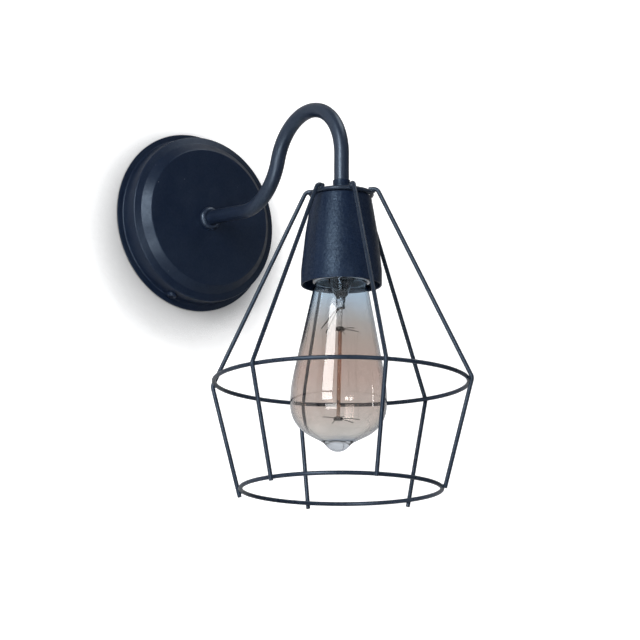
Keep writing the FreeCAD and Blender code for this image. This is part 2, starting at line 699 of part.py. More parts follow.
def holder_skirt():
    ledge_r = SHELL_R + SHELL_SHEET + SEAT
    ledge = CONTACT_FACE_Z - SHELL_SHEET - 2 * SEAT - HOLDER_SPLIT_Z
    skirt = spun([(SKIRT_BORE_R, -SEAT, 0), (HOLDER_R, -SEAT, 0), (HOLDER_R, -SKIRT_LENGTH, SKIRT_ROUND),
                  (ledge_r, -SKIRT_LENGTH, 0), (ledge_r, ledge, 0), (SKIRT_BORE_R, ledge, 0)])
    return under_arm(skirt, HOLDER_SPLIT_Z)


def holder_ring():
    inner = HOLDER_R + SEAT
    outer = inner + HOLDER_RING_SHEET
    ring = spun([(inner, 0, HOLDER_RING_ROUND), (outer, 0, HOLDER_RING_ROUND),
                 (outer, HOLDER_RING_LENGTH, HOLDER_RING_ROUND), (inner, HOLDER_RING_LENGTH, 0)])
    return under_arm(ring, HOLDER_RING_END_Z)


def lead(pole, side):
    """Lead from a pole of the terminal block, through the arm, to a screw of the lamp holder."""
    depth = POLE_DEPTH + STRAP_FRONT + SEAT
    across = pole_places()[pole]
    start = BLOCK_AT - BLOCK_LENGTH / 2
    spread = side * LEAD_SPREAD
    corners = [(strap_point(start + LEAD_ENTRY, across, depth), 0),
               (strap_point(start - LEAD_ENTRY / 2, across, depth), LEAD_BEND / 2),
               (FreeCAD.Vector(spread, -depth, -ARM_DROP), LEAD_BEND),
               (FreeCAD.Vector(spread, -ARM_REAR - BUSH_LENGTH, -ARM_DROP), 0)]
    edges = at_corner(corners, False)
    edges += arm_route(spread, ARM_REAR + BUSH_LENGTH, ARM_END_Z)
    screw_x = side * (HOLDER_SCREW_AT - HOLDER_SCREW_HEAD_R - LEAD_R - SLIP)
    drop = CONTACT_BLOCK_Z + LEAD_R + 2 * SEAT
    bend_z = (ARM_END_Z + drop) / 2
    tail = [(FreeCAD.Vector(spread, -ARM_REACH, ARM_END_Z), 0),
            (FreeCAD.Vector(spread, -ARM_REACH, bend_z + LEAD_R), LEAD_BEND / 2),
            (FreeCAD.Vector(screw_x, -ARM_REACH, bend_z - LEAD_R), LEAD_BEND / 2),
            (FreeCAD.Vector(screw_x, -ARM_REACH, drop), 0)]
    edges += at_corner(tail, False)
    return swept(edges, LEAD_R)


def earth_lead():
    depth = POLE_DEPTH + STRAP_FRONT + SEAT
    low = STRAP_FRONT + TAG_SHEET + LEAD_R + 2 * SEAT
    start = BLOCK_AT - BLOCK_LENGTH / 2
    across = pole_places()[POLE_COUNT // 2]
    end = EARTH_SCREW_AT + EARTH_SCREW_HEAD_R + 2 * SLIP
    corners = [(strap_point(start + LEAD_ENTRY, across, depth), 0),
               (strap_point(start - LEAD_ENTRY / 2, across, depth), LEAD_BEND / 2),
               (strap_point(start - LEAD_ENTRY * 2, 0, low), LEAD_BEND / 2),
               (strap_point(end, 0, low), 0)]
    return swept(at_corner(corners, False), LEAD_R)


def cage_ring(radius, height):
    return under_arm(Part.makeTorus(radius, WIRE_R), height)


def cage_rib(index):
    """One rib: welded on the top ring, bent over, kneed outside the middle ring, down past the last."""
    gap = 2 * WIRE_R + SEAT
    upper_z = TOP_RING_Z + gap
    knee_r = MIDDLE_RING_R + gap
    foot_r = BOTTOM_RING_R + gap
    upper = math.atan2(knee_r - RIB_SHOULDER_R, upper_z - MIDDLE_RING_Z)
    lower = math.atan2(knee_r - foot_r, LOWER_CAGE)
    knee_r += RIB_KNEE_BEND * (1 / math.cos((upper + lower) / 2) - 1)
    foot_r = BOTTOM_RING_R + gap / math.cos(lower)
    slope = FreeCAD.Vector(foot_r - knee_r, 0, -LOWER_CAGE).normalize()
    foot = FreeCAD.Vector(foot_r, 0, BOTTOM_RING_Z) + slope * RIB_TAILS[index]
    corners = [(FreeCAD.Vector(RIB_START_R, 0, upper_z), 0),
               (FreeCAD.Vector(RIB_SHOULDER_R, 0, upper_z), RIB_TOP_BEND),
               (FreeCAD.Vector(knee_r, 0, MIDDLE_RING_Z), RIB_KNEE_BEND),
               (foot, 0)]
    wire = swept(at_corner(corners, False), WIRE_R)
    return under_arm(wire, 0, FIRST_RIB_TURN + 360 / RIB_COUNT * index)


def bulb_button():
    return in_socket(spun([(0, 0, 0), (0, -BUTTON_HEIGHT, 0), (BUTTON_R, -BUTTON_HEIGHT, 0),
                           (BUTTON_R, 0, BUTTON_ROUND)]))


def bulb_insulator():
    top = -BUTTON_HEIGHT - SEAT
    foot = -BUTTON_HEIGHT - INSULATOR_HEIGHT
    return in_socket(spun([(0, top, 0), (BUTTON_R + INSULATOR_LIP, top, 0),
                           (BULB_CAP_R - BULB_CAP_SHOULDER, foot, 0), (0, foot, 0)]))


def bulb_cap():
    top = -BUTTON_HEIGHT - INSULATOR_HEIGHT - SEAT
    outer = [(BULB_CAP_R, -BULB_CAP_END, 0), (BULB_CAP_R, top - BULB_CAP_SHOULDER, BULB_CAP_BEND),
             (BULB_CAP_R - BULB_CAP_SHOULDER, top, 0)]
    return in_socket(spun_sheet(outer, BULB_CAP_SHEET))


def glass_corners():
    """Outline of the bulb's glass, from the pip up to the neck inside the cap."""
    pip_top = PIP_LENGTH - BULB_LENGTH
    return [(0, -BULB_LENGTH, 0), (PIP_TIP_R, -BULB_LENGTH, PIP_ROUND), (PIP_R, pip_top, PIP_FLARE),
            (GLASS_BELLY_R, -GLASS_HIP_AT, GLASS_HIP_BEND),
            (GLASS_BELLY_R, -GLASS_BELLY_AT, GLASS_BELLY_BEND),
            (GLASS_SHOULDER_R, -GLASS_SHOULDER_AT, GLASS_SHOULDER_BEND),
            (GLASS_NECK_R, -BULB_CAP_END - SLIP, GLASS_NECK_BEND), (GLASS_NECK_R, -GLASS_NECK_TOP, 0)]


def bulb_glass():
    return in_socket(spun_sheet(glass_corners(), GLASS_WALL))


def bulb_stem():
    top = -GLASS_NECK_TOP
    flare_r = GLASS_NECK_R - GLASS_WALL - SEAT
    stem = spun([(0, top, 0), (flare_r, top, 0), (STEM_WAIST_R, -STEM_WAIST_AT, STEM_WAIST_BEND),
                 (PINCH_R, -PINCH_AT, PINCH_BEND), (PINCH_R, -PINCH_END, PINCH_ROUND),
                 (0, -PINCH_END, 0)])
    return in_socket(stem)


def bulb_rod():
    top = -PINCH_END - SEAT
    upper = -UPPER_BEAD_AT
    lower = -LOWER_BEAD_AT
    return in_socket(spun([(0, top, 0), (ROD_R, top, 0), (ROD_R, upper, 0),
                           (BEAD_R, upper, BEAD_ROUND), (BEAD_R, upper - BEAD_HEIGHT, BEAD_ROUND),
                           (ROD_R, upper - BEAD_HEIGHT, 0), (ROD_R, lower, 0),
                           (BEAD_R, lower, BEAD_ROUND), (BEAD_R, lower - BEAD_HEIGHT, BEAD_ROUND),
                           (0, lower - BEAD_HEIGHT, 0)]))


def round_bulb(places, reach, height):
    """Points round the bulb's axis: places are counted from the first lead, in filament steps."""
    step = 2 * math.pi / (LOWER_HOOK_COUNT + 1)
    points = []
    for place in places:
        angle = math.radians(FILAMENT_TURN) + step * place
        points.append(FreeCAD.Vector(reach * math.cos(angle), reach * math.sin(angle), height))
    return points


def lower_places():
    """Places of the lower hooks, half way between the upper ones."""
    return [index + 0.5 for index in range(LOWER_HOOK_COUNT)]


def hooks_round(places, reach, bead_at):
    """Straight wires out of one bead."""
    height = -bead_at - BEAD_HEIGHT / 2
    roots = round_bulb(places, BEAD_R + SEAT, height)
    tips = round_bulb(places, reach, height - HOOK_DROOP)
    return [in_socket(rod(HOOK_R, root, tip)) for root, tip in zip(roots, tips)]


def bulb_hooks():
    upper = hooks_round(range(1, LOWER_HOOK_COUNT), UPPER_HOOK_REACH, UPPER_BEAD_AT)
    lower = hooks_round(lower_places(), LOWER_HOOK_REACH, LOWER_BEAD_AT)
    return Part.makeCompound(upper + lower)


def upper_hook_height():
    return -UPPER_BEAD_AT - BEAD_HEIGHT / 2 - HOOK_DROOP


def lower_hook_height():
    return -LOWER_BEAD_AT - BEAD_HEIGHT / 2 - HOOK_DROOP


def bulb_filament():
    """One wire from lead to lead, looped over the upper hooks and under the lower ones."""
    clear = HOOK_R + FILAMENT_R + HOOK_CLEAR
    upper = round_bulb(range(LOWER_HOOK_COUNT + 1), UPPER_HOOK_REACH - HOOK_TIP,
                       upper_hook_height() + clear)
    lower = round_bulb(lower_places(), LOWER_HOOK_REACH - HOOK_TIP, lower_hook_height() - clear)
    below_lead = FreeCAD.Vector(0, 0, 2 * clear)
    corners = [(upper[0] - below_lead, 0)]
    for index in range(LOWER_HOOK_COUNT):
        loops = [lower[index]] if index == LOWER_HOOK_COUNT - 1 else [lower[index], upper[index + 1]]
        for loop in loops:
            aside = FreeCAD.Vector(-loop.y, loop.x, 0).normalize() * clear
            corners += [(loop - aside, FILAMENT_BEND), (loop + aside, FILAMENT_BEND)]
    corners.append((upper[-1] - below_lead, 0))
    return in_socket(swept(at_corner(corners, False), FILAMENT_R))


def bulb_lead_wires():
    ends = [0, LOWER_HOOK_COUNT]
    roots = round_bulb(ends, INNER_LEAD_ROOT, -PINCH_END - INNER_LEAD_R - SEAT)
    tips = round_bulb(ends, UPPER_HOOK_REACH, upper_hook_height())
    return Part.makeCompound([in_socket(rod(INNER_LEAD_R, root, tip)) for root, tip in zip(roots, tips)])


def pieces():
    """Every node of the light, by name."""
    nodes = {
        "wall_bracket": wall_bracket(),
        "wall_plate": wall_plate(),
        "plate_screws": plate_screws(),
        "terminal_block": terminal_block(),
        "block_screws": block_screws(),
        "terminal_sleeves": terminal_sleeves(),
        "clamp_screws": clamp_screws(),
        "earth_tag": earth_tag(),
        "earth_screw": earth_screw(),
        "live_lead": lead(POLE_COUNT - 1, -1),
        "neutral_lead": lead(0, 1),
        "earth_lead": earth_lead(),
        "arm_tube": arm_tube(),
        "arm_collar": arm_collar(),
        "arm_washer": arm_washer(),
        "arm_lock_nut": arm_lock_nut(),
        "arm_bush": arm_bush(),
        "cup_ferrule": cup_ferrule(),
        "lamp_cup": lamp_cup(),
        "cup_washer": cup_washer(),
        "cup_lock_nut": cup_lock_nut(),
        "holder_cap": holder_cap(),
        "contact_block": contact_block(),
        "holder_screws": holder_screws(),
        "centre_contact": centre_contact(),
        "screw_shell": screw_shell(),
        "holder_skirt": holder_skirt(),
        "holder_ring": holder_ring(),
        "cage_top_ring": cage_ring(TOP_RING_R, TOP_RING_Z),
        "cage_middle_ring": cage_ring(MIDDLE_RING_R, MIDDLE_RING_Z),
        "cage_bottom_ring": cage_ring(BOTTOM_RING_R, BOTTOM_RING_Z),
        "bulb_button": bulb_button(),
        "bulb_insulator": bulb_insulator(),
        "bulb_cap": bulb_cap(),
        "bulb_glass": bulb_glass(),
        "bulb_stem": bulb_stem(),
        "bulb_rod": bulb_rod(),
        "bulb_lead_wires": bulb_lead_wires(),
        "bulb_hooks": bulb_hooks(),
        "bulb_filament": bulb_filament(),
    }
    for index in range(RIB_COUNT):
        nodes[f"cage_rib_{index + 1}"] = cage_rib(index)
    return nodes


os.makedirs("parts", exist_ok=True)
for name, shape in pieces().items():
    shape.exportStep(f"parts/{name}.step")
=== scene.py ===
"""Dressed model of a cage wall light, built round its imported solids.

Everything is in metres, in the frame of the solids: the wall is the plane Y = 0, the light
stands out of it towards -Y, and +Z is up. Sizes in the classes are in millimetres.
"""

import logging
import math
from collections.abc import Sequence
from dataclasses import dataclass, field
from enum import Enum

import bmesh
import bpy
from mathutils import Matrix, Vector

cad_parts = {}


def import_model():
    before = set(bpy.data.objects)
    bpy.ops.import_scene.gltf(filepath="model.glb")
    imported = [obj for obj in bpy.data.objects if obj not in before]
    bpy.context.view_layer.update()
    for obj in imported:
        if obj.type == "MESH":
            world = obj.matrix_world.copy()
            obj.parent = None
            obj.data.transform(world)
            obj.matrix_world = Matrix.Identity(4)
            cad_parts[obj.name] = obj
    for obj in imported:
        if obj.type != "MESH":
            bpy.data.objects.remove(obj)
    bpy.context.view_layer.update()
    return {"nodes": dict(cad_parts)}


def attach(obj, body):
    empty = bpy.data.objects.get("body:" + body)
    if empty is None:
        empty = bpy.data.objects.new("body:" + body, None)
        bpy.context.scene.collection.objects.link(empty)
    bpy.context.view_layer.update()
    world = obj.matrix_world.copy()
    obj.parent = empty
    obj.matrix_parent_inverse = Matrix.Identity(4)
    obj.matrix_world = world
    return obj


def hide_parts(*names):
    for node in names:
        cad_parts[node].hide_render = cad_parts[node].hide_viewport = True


LOG = logging.getLogger("cage_wall_light")
MM = 0.001
FITTING = "fitting"
BULB = "bulb"
LAMP_AXIS_Y = -178.0
FIT = 0.05
THREAD_PITCH = 3.62
UP = Vector((0.0, 0.0, 1.0))
Triple = tuple[float, float, float]
Shade = Triple
Span = tuple[float, float]
Socket = bpy.types.NodeSocket


class Edge(Enum):
    """Angle between faces, in degrees, past which an edge is drawn sharp."""

    CRISP = 28.0
    SOFT = 50.0


# ---------------------------------------------------------------- shaping


@dataclass(frozen=True)
class Corner:
    """One corner of a turned outline: radius, height and bend radius, in millimetres."""

    r: float
    z: float
    bend: float = 0.0


class Drawn:
    """A point or a ring that is pushed along straight runs and round bends.

    A run under TOO_SHORT, in metres, isn't drawn, and each bend gets at least FEWEST flats.
    """

    TOO_SHORT = 1e-7
    FEWEST = 2

    def __init__(self, bm: bmesh.types.BMesh, verts: Sequence, place: Vector, heading: Vector) -> None:
        """Start from the vertices of the section.

        Args:
            bm: The mesh being shaped.
            verts: Vertices of the section, one for a line and a ring of them for a tube.
            place: Centre of the section, in metres.
            heading: Direction that the section looks along.
        """
        self.bm = bm
        self.verts = list(verts)
        self.place = place.copy()
        self.heading = heading.normalized()

    def ahead(self, length: float) -> None:
        """Push the section straight ahead.

        Args:
            length: How far, in metres.
        """
        if length < self.TOO_SHORT:
            return
        if len(self.verts) == 1:
            grown = bmesh.ops.extrude_vert_indiv(self.bm, verts=self.verts)["verts"]
        else:
            edges = self._edges()
            grown = bmesh.ops.extrude_edge_only(self.bm, edges=edges)["geom"]
            grown = [item for item in grown if isinstance(item, bmesh.types.BMVert)]
        step = self.heading * length
        bmesh.ops.translate(self.bm, verts=grown, vec=step)
        self.verts = grown
        self.place += step

    def turn(self, bend: float, angle: float, axis: Vector, steps: int) -> None:
        """Push the section round a bend.

        Args:
            bend: Bend radius of the centre line, in metres.
            angle: How far it turns, in radians.
            axis: Axis that it turns about, by the right-hand rule.
            steps: Number of flats in the bend.
        """
        centre = self.place + axis.cross(self.heading) * bend
        geom = self.verts + (self._edges() if len(self.verts) > 1 else [])
        swung = bmesh.ops.spin(self.bm, geom=geom, cent=centre, axis=axis, dvec=(0, 0, 0),
                               angle=angle, steps=steps, use_merge=False, use_duplicate=False)
        self.verts = [item for item in swung["geom_last"] if isinstance(item, bmesh.types.BMVert)]
        turned = Matrix.Rotation(angle, 3, axis)
        self.place = centre + turned @ (self.place - centre)
        self.heading = turned @ self.heading

    def _edges(self) -> list:
        """Edges between the vertices of the section."""
        own = set(self.verts)
        return list({edge for vert in own for edge in vert.link_edges if set(edge.verts) <= own})

    def through(self, points: Sequence[Vector], bends: Sequence[float], flat: float) -> None:
        """Push the section through corners, each with its bend radius.

        Args:
            points: Corners after the first, in metres.
            bends: Bend radius at each of them, in metres; the last one ends the run.
            flat: Angle of one flat in a bend, in radians.
        """
        for index, point in enumerate(points):
            run = point - self.place
            if index == len(points) - 1 or bends[index] == 0:
                self.heading = run.normalized()
                self.ahead(run.length)
                continue
            self.heading = run.normalized()
            onward = (points[index + 1] - point).normalized()
            angle = self.heading.angle(onward)
            reach = bends[index] * math.tan(angle / 2)
            self.ahead(run.length - reach)
            axis = self.heading.cross(onward).normalized()
            self.turn(bends[index], angle, axis, max(self.FEWEST, round(angle / flat)))


class Workpiece:
    """A mesh being shaped with bmesh operators, in metres.

    The flats and angles below are in radians, BURR is in millimetres, and MERGE and SLIVER are in metres.
    """

    TURNED_FLAT = math.radians(7.0)
    BAR_FLAT = math.radians(4.0)
    END_ANGLE = 1.2
    RIM_ANGLE = math.radians(60.0)
    BURR = 0.25
    BEVEL_FLATS = 3
    MERGE = 1e-7
    SLIVER = 1e-8

    def __init__(self) -> None:
        """Start with an empty mesh."""
        self.bm = bmesh.new()

    @classmethod
    def turned(cls, corners: Sequence[Corner], closed: bool = False, steps: int = 128) -> "Workpiece":
        """Spin an outline about the Z axis.

        Args:
            corners: Outline in the X-Z half plane.
            closed: True where the outline closes on itself, away from the axis.
            steps: Number of flats round the piece.

        Returns:
            The turned piece.
        """
        piece = cls()
        points = [Vector((corner.r, 0.0, corner.z)) * MM for corner in corners]
        bends = [corner.bend * MM for corner in corners]
        if closed:
            start = (points[-1] + points[0]) / 2
            points = points + [start]
            bends = bends + [0.0]
        else:
            start = points[0]
            points = points[1:]
            bends = bends[1:]
        first = piece.bm.verts.new(start)
        line = Drawn(piece.bm, [first], start, points[0] - start)
        line.through(points, bends, cls.TURNED_FLAT)
        return piece.spun(steps)

    def spun(self, steps: int) -> "Workpiece":
        """Spin all that is drawn so far once round the Z axis."""
        geom = self.bm.verts[:] + self.bm.edges[:]
        bmesh.ops.spin(self.bm, geom=geom, cent=(0, 0, 0), axis=UP, dvec=(0, 0, 0),
                       angle=math.tau, steps=steps, use_merge=True, use_duplicate=False)
        return self.cleaned()

    @classmethod
    def bar(cls, radius: float, points: Sequence[Vector], bends: Sequence[float],
            sides: int = 24, flat: float = BAR_FLAT) -> "Workpiece":
        """Closed round bar through corners.

        Args:
            radius: Radius of the bar, in millimetres.
            points: Corners of its centre line, in millimetres.
            bends: Bend radius at each corner after the first, in millimetres.
            sides: Number of flats round the bar.
            flat: Angle of one flat in a bend, in radians.

        Returns:
            The bar.
        """
        piece = cls()
        places = [point * MM for point in points]
        drawn = piece.section(radius, places[0], places[1] - places[0], sides)
        drawn.through(places[1:], [bend * MM for bend in bends], flat)
        return piece.capped()

    def section(self, radius: float, place: Vector, heading: Vector, sides: int) -> Drawn:
        """Round section, ready to be pushed along.

        Args:
            radius: Radius, in millimetres.
            place: Centre, in metres.
            heading: Direction that the section looks along.
            sides: Number of flats round it.

        Returns:
            The section.
        """
        turn = heading.to_track_quat("Z", "Y").to_matrix().to_4x4()
        verts = bmesh.ops.create_circle(self.bm, cap_ends=False, radius=radius * MM, segments=sides,
                                        matrix=Matrix.Translation(place) @ turn)["verts"]
        return Drawn(self.bm, verts, place, heading)

    def cleaned(self) -> "Workpiece":
        """Close seams and poles, and point the faces outwards."""
        bmesh.ops.remove_doubles(self.bm, verts=self.bm.verts[:], dist=self.MERGE)
        bmesh.ops.dissolve_degenerate(self.bm, edges=self.bm.edges[:], dist=self.SLIVER)
        bmesh.ops.recalc_face_normals(self.bm, faces=self.bm.faces[:])
        return self

    def sharp_edges(self, angle: float) -> list:
        """Edges where two faces meet at more than an angle in radians."""
        return [edge for edge in self.bm.edges if edge.is_manifold and edge.calc_face_angle(0.0) > angle]

    def broken(self, edges: list, size: float) -> "Workpiece":
        """Break edges by a size in millimetres."""
        bmesh.ops.bevel(self.bm, geom=edges, offset=size * MM, offset_type="OFFSET",
                        segments=self.BEVEL_FLATS, profile=0.5, affect="EDGES", material=-1)
        return self

    def capped(self) -> "Workpiece":
        """Close the open ends of a bar, with a small broken edge."""
        rims = [edge for edge in self.bm.edges if edge.is_boundary]
        bmesh.ops.holes_fill(self.bm, edges=rims, sides=0)
        self.cleaned()
        rims = [edge for edge in self.sharp_edges(self.END_ANGLE)
                if any(len(face.verts) > 4 for face in edge.link_faces)]
        return self.broken(rims, self.BURR) if rims else self

    def shell(self, sheet: float) -> "Workpiece":
        """Give an open surface its wall, inwards.

        Args:
            sheet: Thickness, in millimetres.

        Returns:
            The walled piece.
        """
        bmesh.ops.solidify(self.bm, geom=self.bm.faces[:], thickness=sheet * MM)
        bmesh.ops.remove_doubles(self.bm, verts=self.bm.verts[:], dist=self.MERGE)
        return self

    def rounded_rims(self, size: float) -> "Workpiece":
        """Break the sharp edges by a size in millimetres."""
        return self.broken(self.sharp_edges(self.RIM_ANGLE), size)

    def placed(self, matrix: Matrix) -> "Workpiece":
        """Move and turn the piece."""
        bmesh.ops.transform(self.bm, matrix=matrix, verts=self.bm.verts[:])
        return self

    def joined(self, other: "Workpiece") -> "Workpiece":
        """Take another piece's mesh into this one."""
        mesh = bpy.data.meshes.new("part")
        other.bm.to_mesh(mesh)
        self.bm.from_mesh(mesh)
        bpy.data.meshes.remove(mesh)
        other.bm.free()
        return self

    def finished(self, name: str, body: str, finish: "Finish", replaces: Sequence[str] = (),
                 edge: Edge = Edge.CRISP) -> bpy.types.Object:
        """Turn the mesh into a dressed object that rides on a body.

        Args:
            name: Name of the piece.
            body: Body that it rides on.
            finish: Its finish.
            replaces: Solids that it stands for.
            edge: How sharp an edge has to be to stay sharp.

        Returns:
            The object.
        """
        mesh = bpy.data.meshes.new(name)
        self.bm.to_mesh(mesh)
        self.bm.free()
        mesh.polygons.foreach_set("use_smooth", [True] * len(mesh.polygons))
        mesh.set_sharp_from_angle(angle=math.radians(edge.value))
        made = bpy.data.objects.new(name, mesh)
        bpy.context.scene.collection.objects.link(made)
        mesh.materials.append(finish.material())
        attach(made, body)
        if replaces:
            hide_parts(*replaces)
        LOG.info("%s: %d faces on %s", name, len(mesh.polygons), body)
        return made


def on_lamp_axis(height: float = 0.0) -> Matrix:
    """Placing for a piece drawn on Z, on the lamp's axis, with its own zero at a height in millimetres."""
    return Matrix.Translation(Vector((0.0, LAMP_AXIS_Y, height)) * MM)


def out_of_wall(drop: float = 0.0) -> Matrix:
    """Placing for a piece drawn on Z, with Z out of the wall, dropped by millimetres from the centre."""
    return Matrix.Translation(Vector((0.0, 0.0, -drop * MM))) @ Matrix.Rotation(math.radians(90.0), 4, "X")


# ---------------------------------------------------------------- finishes


@dataclass(frozen=True)
class Grain:
    """A soft noise: cells per metre, octaves, share of the fine ones, and what counts as 0 and as 1."""

    scale: float
    detail: float = 2.0
    rough: float = 0.5
    low: float = 0.3
    high: float = 0.7


class Tree:
    """Node tree of a material or of the world."""

    def __init__(self, tree: bpy.types.NodeTree) -> None:
        """Start from an empty tree."""
        self.tree = tree
        self.tree.nodes.clear()

    def add(self, kind: str, **settings: object) -> bpy.types.Node:
        """Add a node and set its own properties.

        Args:
            kind: Type of the node.
            **settings: Its properties by name.

        Returns:
            The node.
        """
        node = self.tree.nodes.new(kind)
        for key, value in settings.items():
            setattr(node, key, value)
        return node

    def join(self, source: Socket, target: Socket) -> None:
        """Join two sockets."""
        self.tree.links.new(source, target)

    def math(self, kind: str, first: Socket, second: Socket | float) -> Socket:
        """Sum, product or other function of two values.

        Args:
            kind: The function.
            first: First value.
            second: Second value, or a number.

        Returns:
            The result.
        """
        node = self.add("ShaderNodeMath", operation=kind)
        self.join(first, node.inputs[0])
        if isinstance(second, float):
            node.inputs[1].default_value = second
        else:
            self.join(second, node.inputs[1])
        return node.outputs["Value"]

    def seen(self) -> Socket:
        """1 for rays of the camera and rays through glass, and 0 for the others."""
        rays = self.add("ShaderNodeLightPath").outputs
        return self.math("MAXIMUM", rays["Is Camera Ray"], rays["Is Transmission Ray"])

    def mixed(self, share: Socket, first: Socket, second: Socket) -> Socket:
        """Mix two shaders by a share.

        Args:
            share: Share of the second.
            first: Shader at 0.
            second: Shader at 1.

        Returns:
            The mixed shader.
        """
        node = self.add("ShaderNodeMixShader")
        for socket, source in zip(node.inputs, (share, first, second)):
            self.join(source, socket)
        return node.outputs[0]


class Nodes(Tree):
    """Node tree of one material, with a principled shader."""

    def __init__(self, name: str) -> None:
        """Start a material with its shader and its output.

        Args:
            name: Name of the material.
        """
        self.made = bpy.data.materials.new(name)
        self.made.use_nodes = True
        super().__init__(self.made.node_tree)
        self.output = self.add("ShaderNodeOutputMaterial").inputs["Surface"]
        self.shader = self.add("ShaderNodeBsdfPrincipled")
        self.join(self.shader.outputs["BSDF"], self.output)
        self.place = self.add("ShaderNodeTexCoord").outputs["Object"]

    def set(self, **values: object) -> None:
        """Set constants on the shader's own sockets, by name with _ for a space."""
        for key, value in values.items():
            socket = self.shader.inputs[key.replace("_", " ")]
            socket.default_value = (*value, 1.0) if isinstance(value, tuple) else value

    def drive(self, name: str, source: Socket) -> None:
        """Let a socket drive one of the shader's inputs."""
        self.join(source, self.shader.inputs[name])

    def mapped(self, scale: Triple, turn: Triple = (0.0, 0.0, 0.0)) -> Socket:
        """Object place, turned and stretched.

        Args:
            scale: Stretch along each axis.
            turn: Turn about each axis, in radians.

        Returns:
            The place.
        """
        node = self.add("ShaderNodeMapping")
        node.inputs["Rotation"].default_value = turn
        node.inputs["Scale"].default_value = scale
        self.join(self.place, node.inputs["Vector"])
        return node.outputs["Vector"]

    def noise(self, grain: Grain, vector: Socket | None = None) -> Socket:
        """Soft noise, from 0 to 1.

        Args:
            grain: How fine it is.
            vector: Place to read it at.

        Returns:
            Its value.
        """
        node = self.add("ShaderNodeTexNoise")
        for name, number in (("Scale", grain.scale), ("Detail", grain.detail), ("Roughness", grain.rough)):
            node.inputs[name].default_value = number
        self.join(vector or self.place, node.inputs["Vector"])
        return node.outputs["Fac"]

    def span(self, value: Socket, low: float, high: float, start: float = 0.0, end: float = 1.0) -> Socket:
        """Map a value from one range to another, held at its ends.

        Args:
            value: The value.
            low: Where the first range starts.
            high: Where it ends.
            start: Where the second range starts.
            end: Where it ends.

        Returns:
            The mapped value.
        """
        node = self.add("ShaderNodeMapRange")
        for name, number in (("From Min", low), ("From Max", high), ("To Min", start), ("To Max", end)):
            node.inputs[name].default_value = number
        self.join(value, node.inputs["Value"])
        return node.outputs["Result"]

    def spread(self, grain: Grain, start: float = 0.0, end: float = 1.0) -> Socket:
        """Soft noise, mapped so that its grain's low and high become start and end."""
        return self.span(self.noise(grain), grain.low, grain.high, start, end)

    def ramp(self, value: Socket, stops: Sequence[tuple[float, Shade]]) -> Socket:
        """Colour ramp.

        Args:
            value: What it follows.
            stops: Place and linear colour of each stop.

        Returns:
            Its colour.
        """
        node = self.add("ShaderNodeValToRGB")
        band = node.color_ramp
        while len(band.elements) < len(stops):
            band.elements.new(0.5)
        for element, (place, shade) in zip(band.elements, stops):
            element.position = place
            element.color = (*shade, 1.0)
        self.join(value, node.inputs["Fac"])
        return node.outputs["Color"]

    def mix(self, share: Socket, first: Socket | Shade, second: Socket | Shade) -> Socket:
        """Mix two colours by a share.

        Args:
            share: Share of the second.
            first: Colour at 0.
            second: Colour at 1.

        Returns:
            The mixed colour.
        """
        node = self.add("ShaderNodeMix", data_type="RGBA")
        self.join(share, node.inputs[0])
        for socket, shade in ((node.inputs[6], first), (node.inputs[7], second)):
            if isinstance(shade, tuple):
                socket.default_value = (*shade, 1.0)
            else:
                self.join(shade, socket)
        return node.outputs[2]

    def relief(self, height: Socket, depth: float, strength: float = 1.0) -> None:
        """Raise the surface by a height map.

        Args:
            height: From 0 to 1.
            depth: Height of 1, in millimetres.
            strength: Share of the effect.
        """
        node = self.add("ShaderNodeBump")
        node.inputs["Distance"].default_value = depth * MM
        node.inputs["Strength"].default_value = strength
        self.join(height, node.inputs["Height"])
        self.drive("Normal", node.outputs["Normal"])

    def rimmed(self, colour: Socket, rim: Shade, start: float) -> Socket:
        """Paint shade into a glass's colour towards its outline, where its wall is seen edge on.

        Args:
            colour: Its colour seen straight on.
            rim: The painted shade at the very rim.
            start: Facing share from which it darkens.

        Returns:
            The colour.
        """
        facing = self.add("ShaderNodeLayerWeight").outputs["Facing"]
        return self.mix(self.span(facing, start, 1.0), colour, rim)

    def height(self) -> Socket:
        """Height of the object place."""
        node = self.add("ShaderNodeSeparateXYZ")
        self.join(self.place, node.inputs["Vector"])
        return node.outputs["Z"]


@dataclass(frozen=True)
class Finish:
    """A finish: its name and the record's slot that it stands for."""

    name: str
    slot: str

    def material(self) -> bpy.types.Material:
        """The finish's material, made once."""
        found = bpy.data.materials.get(self.name)
        return found if found else self.build()

    def build(self) -> bpy.types.Material:
        """Build the material's nodes."""
        raise NotImplementedError


